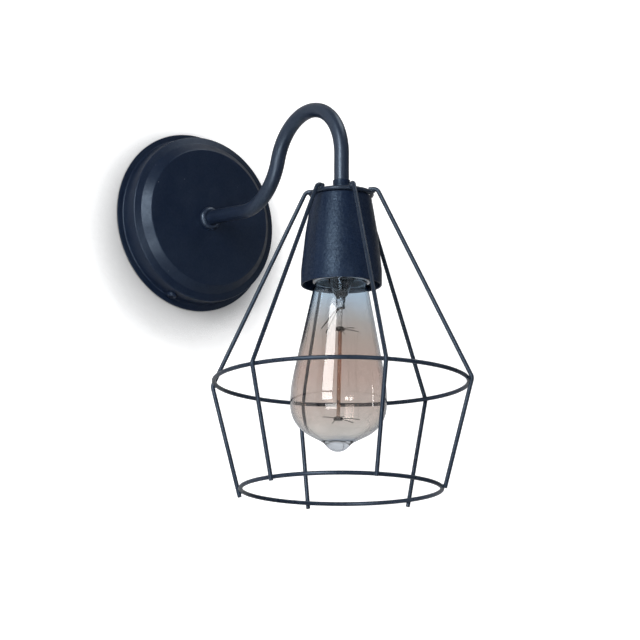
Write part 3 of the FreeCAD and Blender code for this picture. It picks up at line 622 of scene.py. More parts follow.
@dataclass(frozen=True)
class SatinPaint(Finish):
    """Satin spray paint with orange peel, soft mottling and specks of dust."""

    shade: Shade = (0.0042, 0.0090, 0.0235)
    worn: Shade = (0.0080, 0.0140, 0.0300)
    roughness: float = 0.35
    peel: float = 0.045
    dust: float = 0.50
    sheen: float = 0.42
    glitter: float = 0.12
    peel_scale: float = 520.0
    tint: Shade = (0.66, 0.82, 1.0)
    mottle: Grain = Grain(38.0, 5.0, 0.6, 0.35, 0.75)
    rub: Grain = Grain(160.0, 4.0, 0.65)
    rub_span: Span = (-0.06, 0.08)
    glitter_grain: Grain = Grain(760.0, 3.0, 0.7, 0.32, 0.68)
    peel_rough: float = 0.45
    fine_peel: Span = (3.4, 0.35)
    dust_scale: float = 150.0
    dust_size: Grain = Grain(90.0, 1.0, high=0.62)
    dust_uneven: float = 0.1
    dust_reach: float = 0.070
    dust_shade: Shade = (0.16, 0.18, 0.21)

    def build(self) -> bpy.types.Material:
        """Build the material's nodes."""
        nodes = Nodes(self.name)
        paint = nodes.mix(nodes.spread(self.mottle), self.shade, self.worn)
        nodes.drive("Base Color", nodes.mix(self.specks(nodes), paint, self.dust_shade))
        nodes.drive("Roughness", nodes.spread(self.rub, *(self.roughness + part for part in self.rub_span)))
        finer, share = self.fine_peel
        fine = nodes.math("MULTIPLY", nodes.noise(Grain(self.peel_scale * finer)), share)
        coarse = nodes.noise(Grain(self.peel_scale, rough=self.peel_rough))
        nodes.relief(nodes.math("ADD", coarse, fine), self.peel)
        dim, bright = (1.0 - self.glitter) * self.sheen, (1.0 + self.glitter) * self.sheen
        nodes.drive("Specular IOR Level", nodes.spread(self.glitter_grain, dim, bright))
        nodes.set(Specular_Tint=self.tint)
        return nodes.made

    def specks(self, nodes: Nodes) -> Socket:
        """Small round specks of dust, of uneven size.

        Args:
            nodes: The material's nodes.

        Returns:
            Share of dust at each place.
        """
        cells = nodes.add("ShaderNodeTexVoronoi")
        cells.inputs["Scale"].default_value = self.dust_scale
        nodes.join(nodes.place, cells.inputs["Vector"])
        uneven = nodes.spread(self.dust_size, 0.0, self.dust_uneven)
        reach = nodes.math("ADD", cells.outputs["Distance"], uneven)
        return nodes.math("MULTIPLY", nodes.math("LESS_THAN", reach, self.dust_reach), self.dust)


@dataclass(frozen=True)
class Metal(Finish):
    """Bare or plated metal with fine scratches and a slight tarnish."""

    shade: Shade = (0.6, 0.6, 0.6)
    dull: Shade = (0.4, 0.4, 0.4)
    roughness: float = 0.3
    stretch: Triple = (1.0, 1.0, 1.0)
    scratches: Grain = Grain(900.0, 3.0, 0.6)
    depth: float = 0.01
    cloud: Grain = Grain(70.0, 4.0, 0.6, 0.35, 0.72)
    rub_span: Span = (-0.07, 0.09)
    metallic: float = 1.0
    coat: float = 0.0
    coat_roughness: float = 0.1

    def build(self) -> bpy.types.Material:
        """Build the material's nodes."""
        nodes = Nodes(self.name)
        nodes.drive("Base Color", nodes.mix(nodes.spread(self.cloud), self.shade, self.dull))
        scratch = nodes.noise(self.scratches, nodes.mapped(self.stretch))
        rough = [self.roughness + part for part in self.rub_span]
        nodes.drive("Roughness", nodes.span(scratch, self.scratches.low, self.scratches.high, *rough))
        nodes.relief(scratch, self.depth)
        nodes.set(Metallic=self.metallic, Coat_Weight=self.coat, Coat_Roughness=self.coat_roughness)
        return nodes.made


@dataclass(frozen=True)
class Moulded(Metal):
    """Moulded plastic or glazed ceramic: clouded and grained in the same way as metal, but no metal."""

    scratches: Grain = Grain(1500.0)
    cloud: Grain = Grain(120.0, 4.0, 0.6, 0.35)
    rub_span: Span = (-0.05, 0.06)
    metallic: float = 0.0


@dataclass(frozen=True)
class TintedGlass(Finish):
    """Glass tinted by height, with ripples, and with painted shade in dark streaks and a dark rim."""

    stops: tuple[tuple[float, Shade], ...] = ((-0.2, (0.8, 0.8, 0.8)), (0.0, (0.8, 0.8, 0.8)))
    ripple: Grain = Grain(420.0)
    ripple_depth: float = 0.03
    ripple_strength: float = 1.0
    streaks: float = 0.0
    roughness: float = 0.03
    bending: float = 1.52
    # Painted shade along the outline: its colour, and the facing share where it starts.
    rim: Shade = (0.05, 0.06, 0.07)
    rim_start: float = 0.55
    wave: float = 0.0
    wave_grain: Grain = Grain(26.0, 3.0)
    # Painted dark streaks: their shade, span, stretch and turn.
    painted_streak_shade: Shade = (0.07, 0.09, 0.11)
    streak_span: Span = (0.50, 0.60)
    streak_stretch: Triple = (1.0, 1.0, 0.45)
    streak_turn: Triple = (0.5, 0.3, 0.0)

    def build(self) -> bpy.types.Material:
        """Build the material's nodes."""
        nodes = Nodes(self.name)
        foot, top = self.stops[0][0], self.stops[-1][0]
        height = nodes.height()
        if self.wave:
            height = nodes.math("ADD", height, nodes.spread(self.wave_grain, -self.wave, self.wave))
        shares = [((place - foot) / (top - foot), shade) for place, shade in self.stops]
        tint = nodes.ramp(nodes.span(height, foot, top), shares)
        # Dark streaks painted into the colour, as shade for the dark lines that folded glass shows.
        if self.streaks:
            twist = nodes.noise(self.ripple, nodes.mapped(self.streak_stretch, self.streak_turn))
            dark = nodes.math("MULTIPLY", nodes.span(twist, *self.streak_span), self.streaks)
            tint = nodes.mix(dark, tint, self.painted_streak_shade)
        # The dark rim laid over the tint is painted shade.
        nodes.drive("Base Color", nodes.rimmed(tint, self.rim, self.rim_start))
        nodes.relief(nodes.noise(self.ripple), self.ripple_depth, self.ripple_strength)
        nodes.set(Transmission_Weight=1.0, Roughness=self.roughness, IOR=self.bending)
        return nodes.made


PAINT = SatinPaint("navy satin paint", "navy_paint")
CUP_PAINT = SatinPaint("navy orange peel paint", "navy_paint", shade=(0.0030, 0.0085, 0.0270), roughness=0.38,
                       peel=0.20, glitter=0.5, sheen=0.34, tint=(0.56, 0.77, 1.0))
ARM_PAINT = SatinPaint("navy paint on tube", "navy_paint", roughness=0.38, peel=0.03, dust=0.2, sheen=0.95)
WIRE_PAINT = SatinPaint("navy paint on wire", "navy_paint", (0.009, 0.015, 0.028), (0.016, 0.023, 0.038),
                        roughness=0.30, peel=0.05, dust=0.1, sheen=0.5, peel_scale=900.0)
ZINC = Metal("zinc plated steel", "zinc_steel", (0.60, 0.61, 0.62), (0.44, 0.45, 0.47), 0.34)
BRASS = Metal("machined brass", "brass", (0.72, 0.50, 0.22), (0.52, 0.34, 0.14), 0.28)
RING_METAL = Metal("bright rolled aluminium", "bright_ring", (0.88, 0.89, 0.91), (0.74, 0.75, 0.78), 0.42,
                   (1.0, 1.0, 14.0), Grain(240.0, 3.0, 0.6))
NICKEL = Metal("nickel plate", "nickel", (0.58, 0.56, 0.52), (0.46, 0.44, 0.40), 0.26)
TUNGSTEN = Metal("dark drawn wire", "tungsten", (0.10, 0.09, 0.085), (0.06, 0.055, 0.05), 0.42)
GLOW_WIRE = Metal("fine glow wire", "tungsten", (0.34, 0.30, 0.27), (0.24, 0.21, 0.19), 0.4)
BLOCK_PLASTIC = Moulded("white terminal plastic", "block_plastic", (0.78, 0.76, 0.71), (0.70, 0.68, 0.62),
                        0.45)
NYLON = Moulded("white nylon", "white_nylon", (0.80, 0.79, 0.75), (0.72, 0.71, 0.67), 0.4)
BROWN = Moulded("brown sheath", "brown_sheath", (0.12, 0.05, 0.025), (0.08, 0.035, 0.02), 0.42)
BLUE = Moulded("blue sheath", "blue_sheath", (0.02, 0.10, 0.36), (0.015, 0.07, 0.26), 0.42)
GREEN = Moulded("green sheath", "green_sheath", (0.10, 0.33, 0.05), (0.07, 0.25, 0.04), 0.42)
BAKELITE = Moulded("red-brown bakelite", "bakelite", (0.085, 0.030, 0.020), (0.050, 0.020, 0.014), 0.28,
                   coat=0.3)
PORCELAIN = Moulded("glazed porcelain", "porcelain", (0.78, 0.76, 0.71), (0.70, 0.68, 0.63), 0.2, coat=0.5)
VITREOUS = Moulded("black fused glass", "black_glass", (0.012, 0.012, 0.014), (0.02, 0.02, 0.022), 0.14,
                   coat=0.6)

PIP_TINT = (0.520, 0.555, 0.600)
BEAD_TINT = (0.02, 0.016, 0.014)
COPPER_TINT = (0.46, 0.24, 0.16)
CLEAR_TINT = (0.72, 0.72, 0.72)
# The bulb's blue-grey rim colour is painted shade along its outline.
BULB_GLASS = TintedGlass(
    "smoked amber glass", "bulb_glass",
    ((-0.1885, PIP_TINT), (-0.1834, PIP_TINT), (-0.1800, (0.738, 0.730, 0.712)),
     (-0.1635, (0.698, 0.654, 0.625)), (-0.1340, (0.664, 0.574, 0.535)), (-0.1068, (0.614, 0.575, 0.545)),
     (-0.0841, (0.622, 0.715, 0.798))),
    Grain(55.0, 1.0), 0.05, 0.5, roughness=0.012, bending=1.47, rim=(0.10, 0.15, 0.22), rim_start=0.52,
    wave=0.004)
# The stem's colour turns dark brown towards its top: painted shade where it runs up into the cap and holder.
STEM_GLASS = TintedGlass(
    "pressed stem glass", "inner_glass",
    ((-0.0940, (0.82, 0.85, 0.87)), (-0.0860, (0.78, 0.81, 0.84)), (-0.0740, (0.40, 0.34, 0.32)),
     (-0.0650, (0.26, 0.20, 0.18))),
    Grain(300.0), 0.12, streaks=0.8)
ROD_GLASS = TintedGlass(
    "drawn rod glass", "inner_glass",
    ((-0.1682, BEAD_TINT), (-0.1653, BEAD_TINT), (-0.1649, (0.42, 0.33, 0.28)), (-0.1500, (0.44, 0.30, 0.22)),
     (-0.1400, COPPER_TINT), (-0.1083, COPPER_TINT), (-0.1080, BEAD_TINT), (-0.1053, BEAD_TINT),
     (-0.1050, CLEAR_TINT), (-0.0930, CLEAR_TINT)))


# ---------------------------------------------------------------- sub-assemblies


@dataclass
class WallPlate:
    """Spun steel cover with a thin flange, a drum wall, a ledge, a bevel and a flat front."""

    sheet: float = 1.0
    flange_r: float = 63.6
    drum_r: float = 59.0
    drum_depth: float = 14.6
    ledge_r: float = 54.0
    ledge_depth: float = 16.1
    face_r: float = 48.6
    depth: float = 21.5
    tight: float = 1.2
    soft: float = 1.6
    rim: float = 0.3
    flats: int = 180

    def build(self) -> None:
        """Spin the cover."""
        cover = Workpiece.turned([
            Corner(self.flange_r, self.sheet), Corner(self.drum_r, self.sheet, self.tight),
            Corner(self.drum_r, self.drum_depth, self.tight),
            Corner(self.ledge_r, self.ledge_depth, self.tight),
            Corner(self.face_r, self.depth, self.soft), Corner(0.0, self.depth)], steps=self.flats)
        cover.shell(self.sheet).rounded_rims(self.rim)
        cover.placed(out_of_wall()).finished("plate_cover", FITTING, PAINT, ["wall_plate"], Edge.SOFT)


@dataclass
class SwanArm:
    """Bent tube from the wall plate over to the lamp cup, with its collar and ferrule."""

    radius: float = 5.0
    wall: float = 1.0
    drop: float = 1.0
    rear: float = 12.0
    reach: float = 178.0
    end_z: float = -26.15
    lead_out: float = 27.0
    sag_bend: float = 60.0
    sag: float = 5.4
    rise_bend: float = 39.3
    rise: float = 78.8
    crest_bend: float = 37.6
    sides: int = 40
    bend_flats: tuple[int, int, int] = (4, 28, 56)
    collar_r: float = 8.2
    collar_height: float = 3.0
    collar_round: float = 2.4
    collar_lip: float = 0.3
    plate_depth: float = 21.5
    ferrule_wall: float = 0.7
    ferrule_height: float = 7.5
    ferrule_round: float = 0.25
    ferrule_lip: float = 0.1
    cup_top_z: float = -13.0
    ring_flats: int = 64

    def build(self) -> None:
        """Build the tube, the collar and the ferrule."""
        self.tube().finished("arm", FITTING, ARM_PAINT, ["arm_tube"])
        collar = self.ring(self.collar_r, self.collar_height, self.collar_round, self.collar_lip)
        on_plate = Matrix.Translation(UP * (self.plate_depth + FIT) * MM)
        collar.placed(out_of_wall(self.drop) @ on_plate)
        collar.finished("arm_rose", FITTING, ARM_PAINT, ["arm_collar"], Edge.SOFT)
        outer = self.radius + FIT + self.ferrule_wall
        ferrule = self.ring(outer, self.ferrule_height, self.ferrule_round, self.ferrule_lip)
        ferrule.placed(on_lamp_axis(self.cup_top_z + FIT))
        ferrule.finished("ferrule", FITTING, CUP_PAINT, ["cup_ferrule"])

    def tube(self) -> Workpiece:
        """Bend the tube from its root in the plate to its end in the lamp holder."""
        piece = Workpiece()
        root = Vector((0.0, -self.rear, -self.drop)) * MM
        drawn = piece.section(self.radius, root, Vector((0.0, -1.0, 0.0)), self.sides)
        sag = math.radians(self.sag)
        climb = math.radians(self.rise) - sag
        fixed = (self.lead_out + self.sag_bend * math.sin(sag)
                 + self.rise_bend * (math.sin(sag) + math.sin(climb))
                 + self.crest_bend * (math.sin(climb) + 1.0))
        run = (self.reach - fixed) / math.cos(sag)
        down = Vector((1.0, 0.0, 0.0))
        sag_flats, rise_flats, crest_flats = self.bend_flats
        drawn.ahead((self.lead_out - self.rear) * MM)
        drawn.turn(self.sag_bend * MM, sag, down, sag_flats)
        drawn.ahead(run * MM)
        drawn.turn(self.rise_bend * MM, climb + sag, -down, rise_flats)
        drawn.turn(self.crest_bend * MM, climb + math.pi / 2, down, crest_flats)
        drawn.ahead(drawn.place.z - self.end_z * MM)
        return piece.cleaned().shell(self.wall)

    def ring(self, outer: float, height: float, outside: float, lip: float) -> Workpiece:
        """Turn a ring that slips over the tube.

        Args:
            outer: Its outer radius, in millimetres.
            height: Its height, in millimetres.
            outside: Rounding of its outer top edge, in millimetres.
            lip: Rounding of its inner top edge, in millimetres.

        Returns:
            The ring.
        """
        bore = self.radius + FIT
        corners = [Corner(bore, 0.0), Corner(outer, 0.0),
                   Corner(outer, height, outside), Corner(bore, height, lip)]
        return Workpiece.turned(corners, closed=True, steps=self.ring_flats)


@dataclass
class LampCup:
    """Tapered steel cup with a grooved shoulder for the cage's top ring."""

    sheet: float = 1.2
    top_z: float = -13.0
    height: float = 64.0
    top_r: float = 18.5
    top_bend: float = 3.0
    shoulder_drop: float = 3.6
    shoulder_r: float = 19.9
    shoulder_slope: float = 0.6
    shoulder_bend: float = 0.4
    groove_bend: float = 0.3
    waist_drop: float = 28.0
    waist_r: float = 23.9
    mouth_r: float = 26.8
    band: float = 10.0
    band_bend: float = 20.0
    flare_bend: float = 90.0
    rim: float = 0.35
    flats: int = 144

    def build(self) -> None:
        """Spin the cup."""
        shoulder = -self.shoulder_drop
        cup = Workpiece.turned([
            Corner(self.mouth_r, -self.height), Corner(self.mouth_r, self.band - self.height, self.band_bend),
            Corner(self.waist_r, -self.waist_drop, self.flare_bend),
            Corner(self.shoulder_r, shoulder - self.shoulder_slope, self.shoulder_bend),
            Corner(self.top_r, shoulder, self.groove_bend), Corner(self.top_r, 0.0, self.top_bend),
            Corner(0.0, 0.0)], steps=self.flats)
        cup.shell(self.sheet).rounded_rims(self.rim)
        cup.placed(on_lamp_axis(self.top_z)).finished("cup", FITTING, CUP_PAINT, ["lamp_cup"], Edge.SOFT)


@dataclass
class LampHolder:
    """Lamp holder in the cup: bakelite skirt, bright ring and threaded brass shell."""

    outer_r: float = 17.8
    fillet: float = 0.2
    ring_sheet: float = 1.1
    ring_length: float = 16.0
    ring_end_z: float = -75.2
    ring_rounds: Span = (0.5, 0.4)
    lip: float = 0.5
    lip_heights: Span = (0.8, 1.2)
    groove_depth: float = 0.35
    groove_heights: tuple[float, float, float, float] = (4.0, 4.5, 6.0, 6.5)
    bore_r: float = 13.95
    skirt_top_z: float = -45.85
    skirt_end_z: float = -70.15
    skirt_collar: Span = (15.6, 6.7)
    skirt_round: float = 1.0
    skirt_bend: float = 0.5
    skirt_edge: float = 0.3
    mouth_steps: Span = (1.6, 1.2)
    mouth_heights: Span = (2.5, 3.0)
    flats: int = 120
    shell_r: float = 13.5
    shell_sheet: float = 0.08
    shell_top_z: float = -46.0
    shell_end_z: float = -67.25
    shell_flats: int = 96
    pitch: float = THREAD_PITCH
    thread_start: float = 0.6
    thread_rise: float = 0.32
    thread_bend: float = 0.8

    def build(self) -> None:
        """Build the parts that show in the cup's mouth."""
        self.ring().finished("holder_bright_ring", FITTING, RING_METAL, ["holder_ring"], Edge.SOFT)
        self.skirt().finished("holder_bakelite_skirt", FITTING, BAKELITE, ["holder_skirt"], Edge.SOFT)
        self.shell().finished("holder_thread_shell", FITTING, BRASS, ["screw_shell"], Edge.SOFT)

    def ring(self) -> Workpiece:
        """Roll the bright ring, with a groove round it and a lip turned in under the skirt."""
        inner = self.outer_r + FIT
        outer = inner + self.ring_sheet
        foot_round, top_round = self.ring_rounds
        lip_top, lip_end = self.lip_heights
        groove = [Corner(outer - dip * self.groove_depth, height, self.fillet)
                  for dip, height in zip((0, 1, 1, 0), self.groove_heights)]
        ring = Workpiece.turned([
            Corner(inner - self.lip, 0.0, self.fillet), Corner(outer, 0.0, foot_round), *groove,
            Corner(outer, self.ring_length, top_round), Corner(inner, self.ring_length),
            Corner(inner, lip_end, self.fillet), Corner(inner - self.lip, lip_top, self.fillet)],
            closed=True, steps=self.flats)
        return ring.placed(on_lamp_axis(self.ring_end_z))

    def skirt(self) -> Workpiece:
        """Turn the skirt with its stepped lower bore."""
        collar_r, collar = self.skirt_collar
        top, end = self.skirt_top_z + collar, self.skirt_end_z
        wide, narrow = (self.bore_r + step for step in self.mouth_steps)
        step_z, bore_z = (end + height for height in self.mouth_heights)
        skirt = Workpiece.turned([
            Corner(collar_r, top), Corner(self.outer_r, top, self.skirt_edge),
            Corner(self.outer_r, end, self.skirt_round), Corner(wide, end, self.skirt_bend),
            Corner(narrow, step_z, self.skirt_bend), Corner(self.bore_r, bore_z, self.skirt_edge),
            Corner(self.bore_r, self.skirt_top_z, self.fillet),
            Corner(collar_r, self.skirt_top_z, self.fillet)],
            closed=True, steps=self.flats)
        return skirt.placed(on_lamp_axis())

    def shell(self) -> Workpiece:
        """Roll the thread into the brass shell."""
        wave = [Corner(self.shell_r, self.shell_end_z)]
        for index in range(int((self.shell_top_z - self.shell_end_z) / self.pitch)):
            foot = self.shell_end_z + self.thread_start + self.pitch * index
            wave.append(Corner(self.shell_r, foot + self.pitch / 4, self.thread_bend))
            wave.append(Corner(self.shell_r + self.thread_rise, foot + self.pitch * 3 / 4, self.thread_bend))
        wave.append(Corner(self.shell_r, self.shell_top_z))
        return Workpiece.turned(wave, steps=self.shell_flats).shell(self.shell_sheet).placed(on_lamp_axis())


@dataclass
class WireCage:
    """Cage of round wire: three rings and six bent ribs, welded where they cross."""

    wire: float = 1.4
    seat: float = FIT
    sides: int = 20
    ribs: int = 6
    first_turn: float = -17.3
    top_ring: Span = (20.1, -15.15)
    middle_ring: Span = (83.8, -141.85)
    bottom_ring: Span = (65.9, -212.95)
    ring_flats: int = 200
    start_r: float = 18.4
    shoulder_r: float = 24.1
    top_bend: float = 4.0
    knee_bend: float = 5.0
    tails: tuple[float, ...] = (2.0, 1.4, 4.0, 3.4, 3.8, 3.0)
    bead_rounds: int = 3
    top_bead: Triple = (2.2, 1.9, 1.7)
    middle_bead: Triple = (1.4, 1.5, 1.1)
    bottom_bead: Triple = (1.5, 1.9, 1.35)
    butt_bead: Triple = (1.58, 0.9, 1.58)
    top_bead_out: float = 0.5
    bottom_bead_shift: Span = (0.1, -0.2)
    butt_turn: float = 214.0
    lump: float = 0.10
    lump_waves: Triple = (3.1, 4.3, 3.7)

    def build(self) -> None:
        """Build the rings, the ribs and the welds."""
        rings = {"top": self.top_ring, "middle": self.middle_ring, "bottom": self.bottom_ring}
        for name, (radius, height) in rings.items():
            ring = self.ring(radius, height)
            ring.finished(f"cage_{name}_wire", FITTING, WIRE_PAINT, [f"cage_{name}_ring"])
        for index in range(self.ribs):
            count = index + 1
            self.rib(index).finished(f"cage_rib_wire_{count}", FITTING, WIRE_PAINT, [f"cage_rib_{count}"])
        self.welds().finished("cage_weld_beads", FITTING, WIRE_PAINT, edge=Edge.SOFT)

    def ring(self, radius: float, height: float) -> Workpiece:
        """Roll one ring.

        Args:
            radius: Radius of its centre line, in millimetres.
            height: Height of its centre line, in millimetres.

        Returns:
            The ring.
        """
        piece = Workpiece()
        piece.section(self.wire, Vector((radius, 0.0, 0.0)) * MM, Vector((0.0, 1.0, 0.0)), self.sides)
        return piece.spun(self.ring_flats).placed(on_lamp_axis(height))

    def rib_turn(self, index: int) -> Matrix:
        """Turn of one rib about the lamp's axis."""
        return Matrix.Rotation(math.radians(self.first_turn - 90.0 + 360.0 / self.ribs * index), 4, "Z")

    def rib(self, index: int) -> Workpiece:
        """Bend one rib, from over the top ring round the middle ring to below the bottom ring.

        Args:
            index: Which rib.

        Returns:
            The rib.
        """
        gap = 2 * self.wire + self.seat
        upper_z = self.top_ring[1] + gap
        knee_r = self.middle_ring[0] + gap
        fall = self.middle_ring[1] - self.bottom_ring[1]
        upper = math.atan2(knee_r - self.shoulder_r, upper_z - self.middle_ring[1])
        lower = math.atan2(knee_r - self.bottom_ring[0] - gap, fall)
        knee_r += self.knee_bend * (1.0 / math.cos((upper + lower) / 2.0) - 1.0)
        foot_r = self.bottom_ring[0] + gap / math.cos(lower)
        slope = Vector((foot_r - knee_r, 0.0, -fall)).normalized()
        foot = Vector((foot_r, 0.0, self.bottom_ring[1])) + slope * self.tails[index]
        corners = [Vector((self.start_r, 0.0, upper_z)), Vector((self.shoulder_r, 0.0, upper_z)),
                   Vector((knee_r, 0.0, self.middle_ring[1])), foot]
        piece = Workpiece.bar(self.wire, corners, [self.top_bend, self.knee_bend, 0.0], sides=self.sides)
        return piece.placed(on_lamp_axis() @ self.rib_turn(index))

    def bead(self, place: Vector, size: Triple, turn: Matrix) -> Workpiece:
        """One weld bead: a small lumpy blob between two wires.

        Args:
            place: Its centre before the turn, in millimetres.
            size: Half sizes, in millimetres.
            turn: Turn about the lamp's axis.

        Returns:
            The bead.
        """
        piece = Workpiece()
        bmesh.ops.create_icosphere(piece.bm, subdivisions=self.bead_rounds, radius=1.0)
        shifts = (place.z, place.x, 0.0)
        for vert in piece.bm.verts:
            parts = zip(vert.co, self.lump_waves, shifts)
            waves = (math.sin(part * rate + shift) for part, rate, shift in parts)
            vert.co *= 1.0 + self.lump * math.prod(waves)
        bmesh.ops.scale(piece.bm, vec=Vector(size) * MM, verts=piece.bm.verts[:])
        bmesh.ops.translate(piece.bm, vec=place * MM, verts=piece.bm.verts[:])
        return piece.placed(on_lamp_axis() @ turn)

    def welds(self) -> Workpiece:
        """All weld beads: every rib on every ring, and the butt joint of the bottom ring."""
        half = self.wire + self.seat / 2
        top_r, top_z = self.top_ring
        middle_r, middle_z = self.middle_ring
        foot_r, foot_z = self.bottom_ring
        out, fall = self.bottom_bead_shift
        spots = ((foot_r + half + out, foot_z + fall, self.bottom_bead),
                 (middle_r + half, middle_z, self.middle_bead),
                 (top_r + self.top_bead_out, top_z + half, self.top_bead))
        beads = Workpiece()
        for index in range(self.ribs):
            for radius, height, size in spots:
                beads.joined(self.bead(Vector((radius, 0.0, height)), size, self.rib_turn(index)))
        butt = Matrix.Rotation(math.radians(self.butt_turn), 4, "Z")
        return beads.joined(self.bead(Vector((foot_r, 0.0, foot_z)), self.butt_bead, butt))


@dataclass
class FilamentBulb:
    """Long teardrop bulb with a pip, on a screw cap, with its stem, rod, hooks and filament."""

    top_z: float = -47.4
    length: float = 141.0
    lean: float = 1.1
    lean_turn: float = 234.0
    pivot: float = 13.0
    wall: float = 0.8
    neck_r: float = 12.4
    neck_top: float = 18.0
    neck_fall: float = 0.3
    neck_bend: float = 1.0
    cap_r: float = 13.0
    cap_end: float = 23.0
    cap_top: float = 5.05
    cap_sheet: float = 0.3
    cap_turns: int = 3
    cap_rim: Triple = (0.8, 0.5, 1.3)
    cap_thread: Triple = (2.2, 1.1, 0.9)
    cap_crown: Triple = (2.5, 3.0, 0.5)
    shoulder: Span = (17.35, 27.5)
    shoulder_bend: float = 8.0
    inner_shoulder_drop: float = 0.1
    belly: Span = (31.75, 98.2)
    belly_bend: float = 80.0
    hip_at: float = 123.3
    hip_bends: Span = (22.0, 21.0)
    inner_hip_rise: float = 0.4
    pip_tip_r: float = 4.2
    pip_r: float = 9.5
    pip_length: float = 5.9
    pip_round: float = 8.8
    pip_flare: float = 8.0
    floor_r: float = 7.0
    floor_rise: float = 5.5
    floor_bend: float = 9.0
    glass_flats: int = 160
    pitch: float = THREAD_PITCH
    stem_waist: Span = (5.2, 35.0)
    stem_bends: tuple[float, float, float, float] = (0.3, 8.0, 3.0, 1.5)
    pinch: Span = (3.3, 38.0)
    pinch_end: float = 45.8
    squeeze_from: float = 27.0
    squeeze_over: float = 10.0
    squeeze: Span = (0.10, 0.02)
    squeeze_lump: float = 0.07
    twist: Triple = (2.0, 0.45, 0.9)
    knots: Triple = (0.6, 3.0, 0.7)
    stem_mesh: float = 1.2
    stem_cuts: int = 4
    stem_flats: int = 64
    rod_flats: int = 48
    cap_flats: int = 96
    wire_sides: tuple[int, int, int] = (10, 8, 6)
    glow_flat: float = math.radians(20.0)
    rod_r: float = 1.3
    bead_r: float = 3.1
    bead_round: float = 1.0
    bead_height: float = 2.5
    bead_at: Span = (58.0, 118.0)
    small_bend: float = 0.2
    hook_reach: Span = (13.0, 14.5)
    hook_droop: float = 0.8
    hook_r: float = 0.28
    hook_bend: float = 6.0
    hook_middle: Span = (0.62, 0.9)
    hook_rooted: float = 0.4
    lead_r: float = 0.42
    lead_start: Span = (1.4, 0.6)
    lead_corner: Span = (3.4, -1.2)
    lead_bend: float = 2.0
    glow_r: float = 0.06
    glow_inside: float = 0.8
    glow_bend: float = 0.3
    loop: float = 0.5
    filament_turn: float = 160.0
    lower_hooks: int = 5

    def build(self) -> None:
        """Build the bulb, each part in its leaning seat."""
        for piece, name, finish, node, edge in (
                (self.glass(), "bulb_envelope", BULB_GLASS, "bulb_glass", Edge.SOFT),
                (self.stem(), "bulb_glass_stem", STEM_GLASS, "bulb_stem", Edge.SOFT),
                (self.rod(), "bulb_centre_rod", ROD_GLASS, "bulb_rod", Edge.SOFT),
                (self.cap(), "bulb_screw_cap", NICKEL, "bulb_cap", Edge.SOFT),
                (self.leads(), "bulb_leads", TUNGSTEN, "bulb_lead_wires", Edge.CRISP),
                (self.hooks(), "bulb_hook_wires", TUNGSTEN, "bulb_hooks", Edge.CRISP),
                (self.filament(), "bulb_glow_wire", GLOW_WIRE, "bulb_filament", Edge.CRISP)):
            piece.placed(self.seat()).finished(name, BULB, finish, [node], edge)

    def seat(self) -> Matrix:
        """Placing of the bulb in its holder, with its small lean."""
        turn = math.radians(self.lean_turn)
        tip = Vector((math.sin(turn), -math.cos(turn), 0.0))
        hinge = Matrix.Rotation(math.radians(self.lean), 4, tip.cross(UP))
        return on_lamp_axis(self.top_z - self.pivot) @ hinge @ Matrix.Translation(UP * self.pivot * MM)

    def glass(self) -> Workpiece:
        """Blow the envelope, whose pip is solid glass below a rounded inner floor."""
        belly_r, belly_at = self.belly
        shoulder_r, shoulder_at = self.shoulder
        neck, belly = self.neck_r - self.wall, belly_r - self.wall
        hip_bend, inner_hip_bend = self.hip_bends
        outside = [
            Corner(0.0, -self.length), Corner(self.pip_tip_r, -self.length, self.pip_round),
            Corner(self.pip_r, self.pip_length - self.length, self.pip_flare),
            Corner(belly_r, -self.hip_at, hip_bend), Corner(belly_r, -belly_at, self.belly_bend),
            Corner(shoulder_r, -shoulder_at, self.shoulder_bend),
            Corner(self.neck_r, -self.cap_end - self.neck_fall, self.neck_bend),
            Corner(self.neck_r, -self.neck_top)]
        inside = [
            Corner(neck, -self.neck_top),
            Corner(neck, -self.cap_end - 2 * self.neck_fall, self.neck_bend + self.wall),
            Corner(shoulder_r - self.wall, -shoulder_at - self.inner_shoulder_drop,
                   self.shoulder_bend - self.wall),
            Corner(belly, -belly_at, self.belly_bend),
            Corner(belly, -self.hip_at + self.inner_hip_rise, inner_hip_bend),
            Corner(self.floor_r, self.floor_rise - self.length, self.floor_bend),
            Corner(0.0, self.floor_rise - self.length)]
        return Workpiece.turned(outside + inside, steps=self.glass_flats)

    def stem(self) -> Workpiece:
        """Press the stem, which the tongs leave uneven."""
        flare = self.neck_r - self.wall - FIT
        flare_bend, waist_bend, pinch_bend, end_bend = self.stem_bends
        piece = Workpiece.turned([
            Corner(0.0, -self.neck_top), Corner(flare, -self.neck_top, flare_bend),
            Corner(self.stem_waist[0], -self.stem_waist[1], waist_bend),
            Corner(self.pinch[0], -self.pinch[1], pinch_bend),
            Corner(self.pinch[0], -self.pinch_end, end_bend),
            Corner(0.0, -self.pinch_end)], steps=self.stem_flats)
        coarse = [edge for edge in piece.bm.edges if edge.calc_length() > self.stem_mesh * MM]
        bmesh.ops.subdivide_edges(piece.bm, edges=coarse, cuts=self.stem_cuts, use_grid_fill=True)
        flat, thick = self.squeeze
        folds, lean, beat = self.twist
        knot, knots, drift = self.knots
        for vert in piece.bm.verts:
            turn = math.atan2(vert.co.y, vert.co.x)
            down = vert.co.z / MM
            share = min(1.0, max(0.0, (-down - self.squeeze_from) / self.squeeze_over))
            twist = math.sin(folds * turn + lean * down) * math.sin(beat * down)
            lump = self.squeeze_lump * (twist + knot * math.sin(knots * turn - drift * down))
            vert.co.x *= 1.0 - share * (flat + lump)
            vert.co.y *= 1.0 - share * (thick + lump)
        bmesh.ops.recalc_face_normals(piece.bm, faces=piece.bm.faces[:])
        return piece

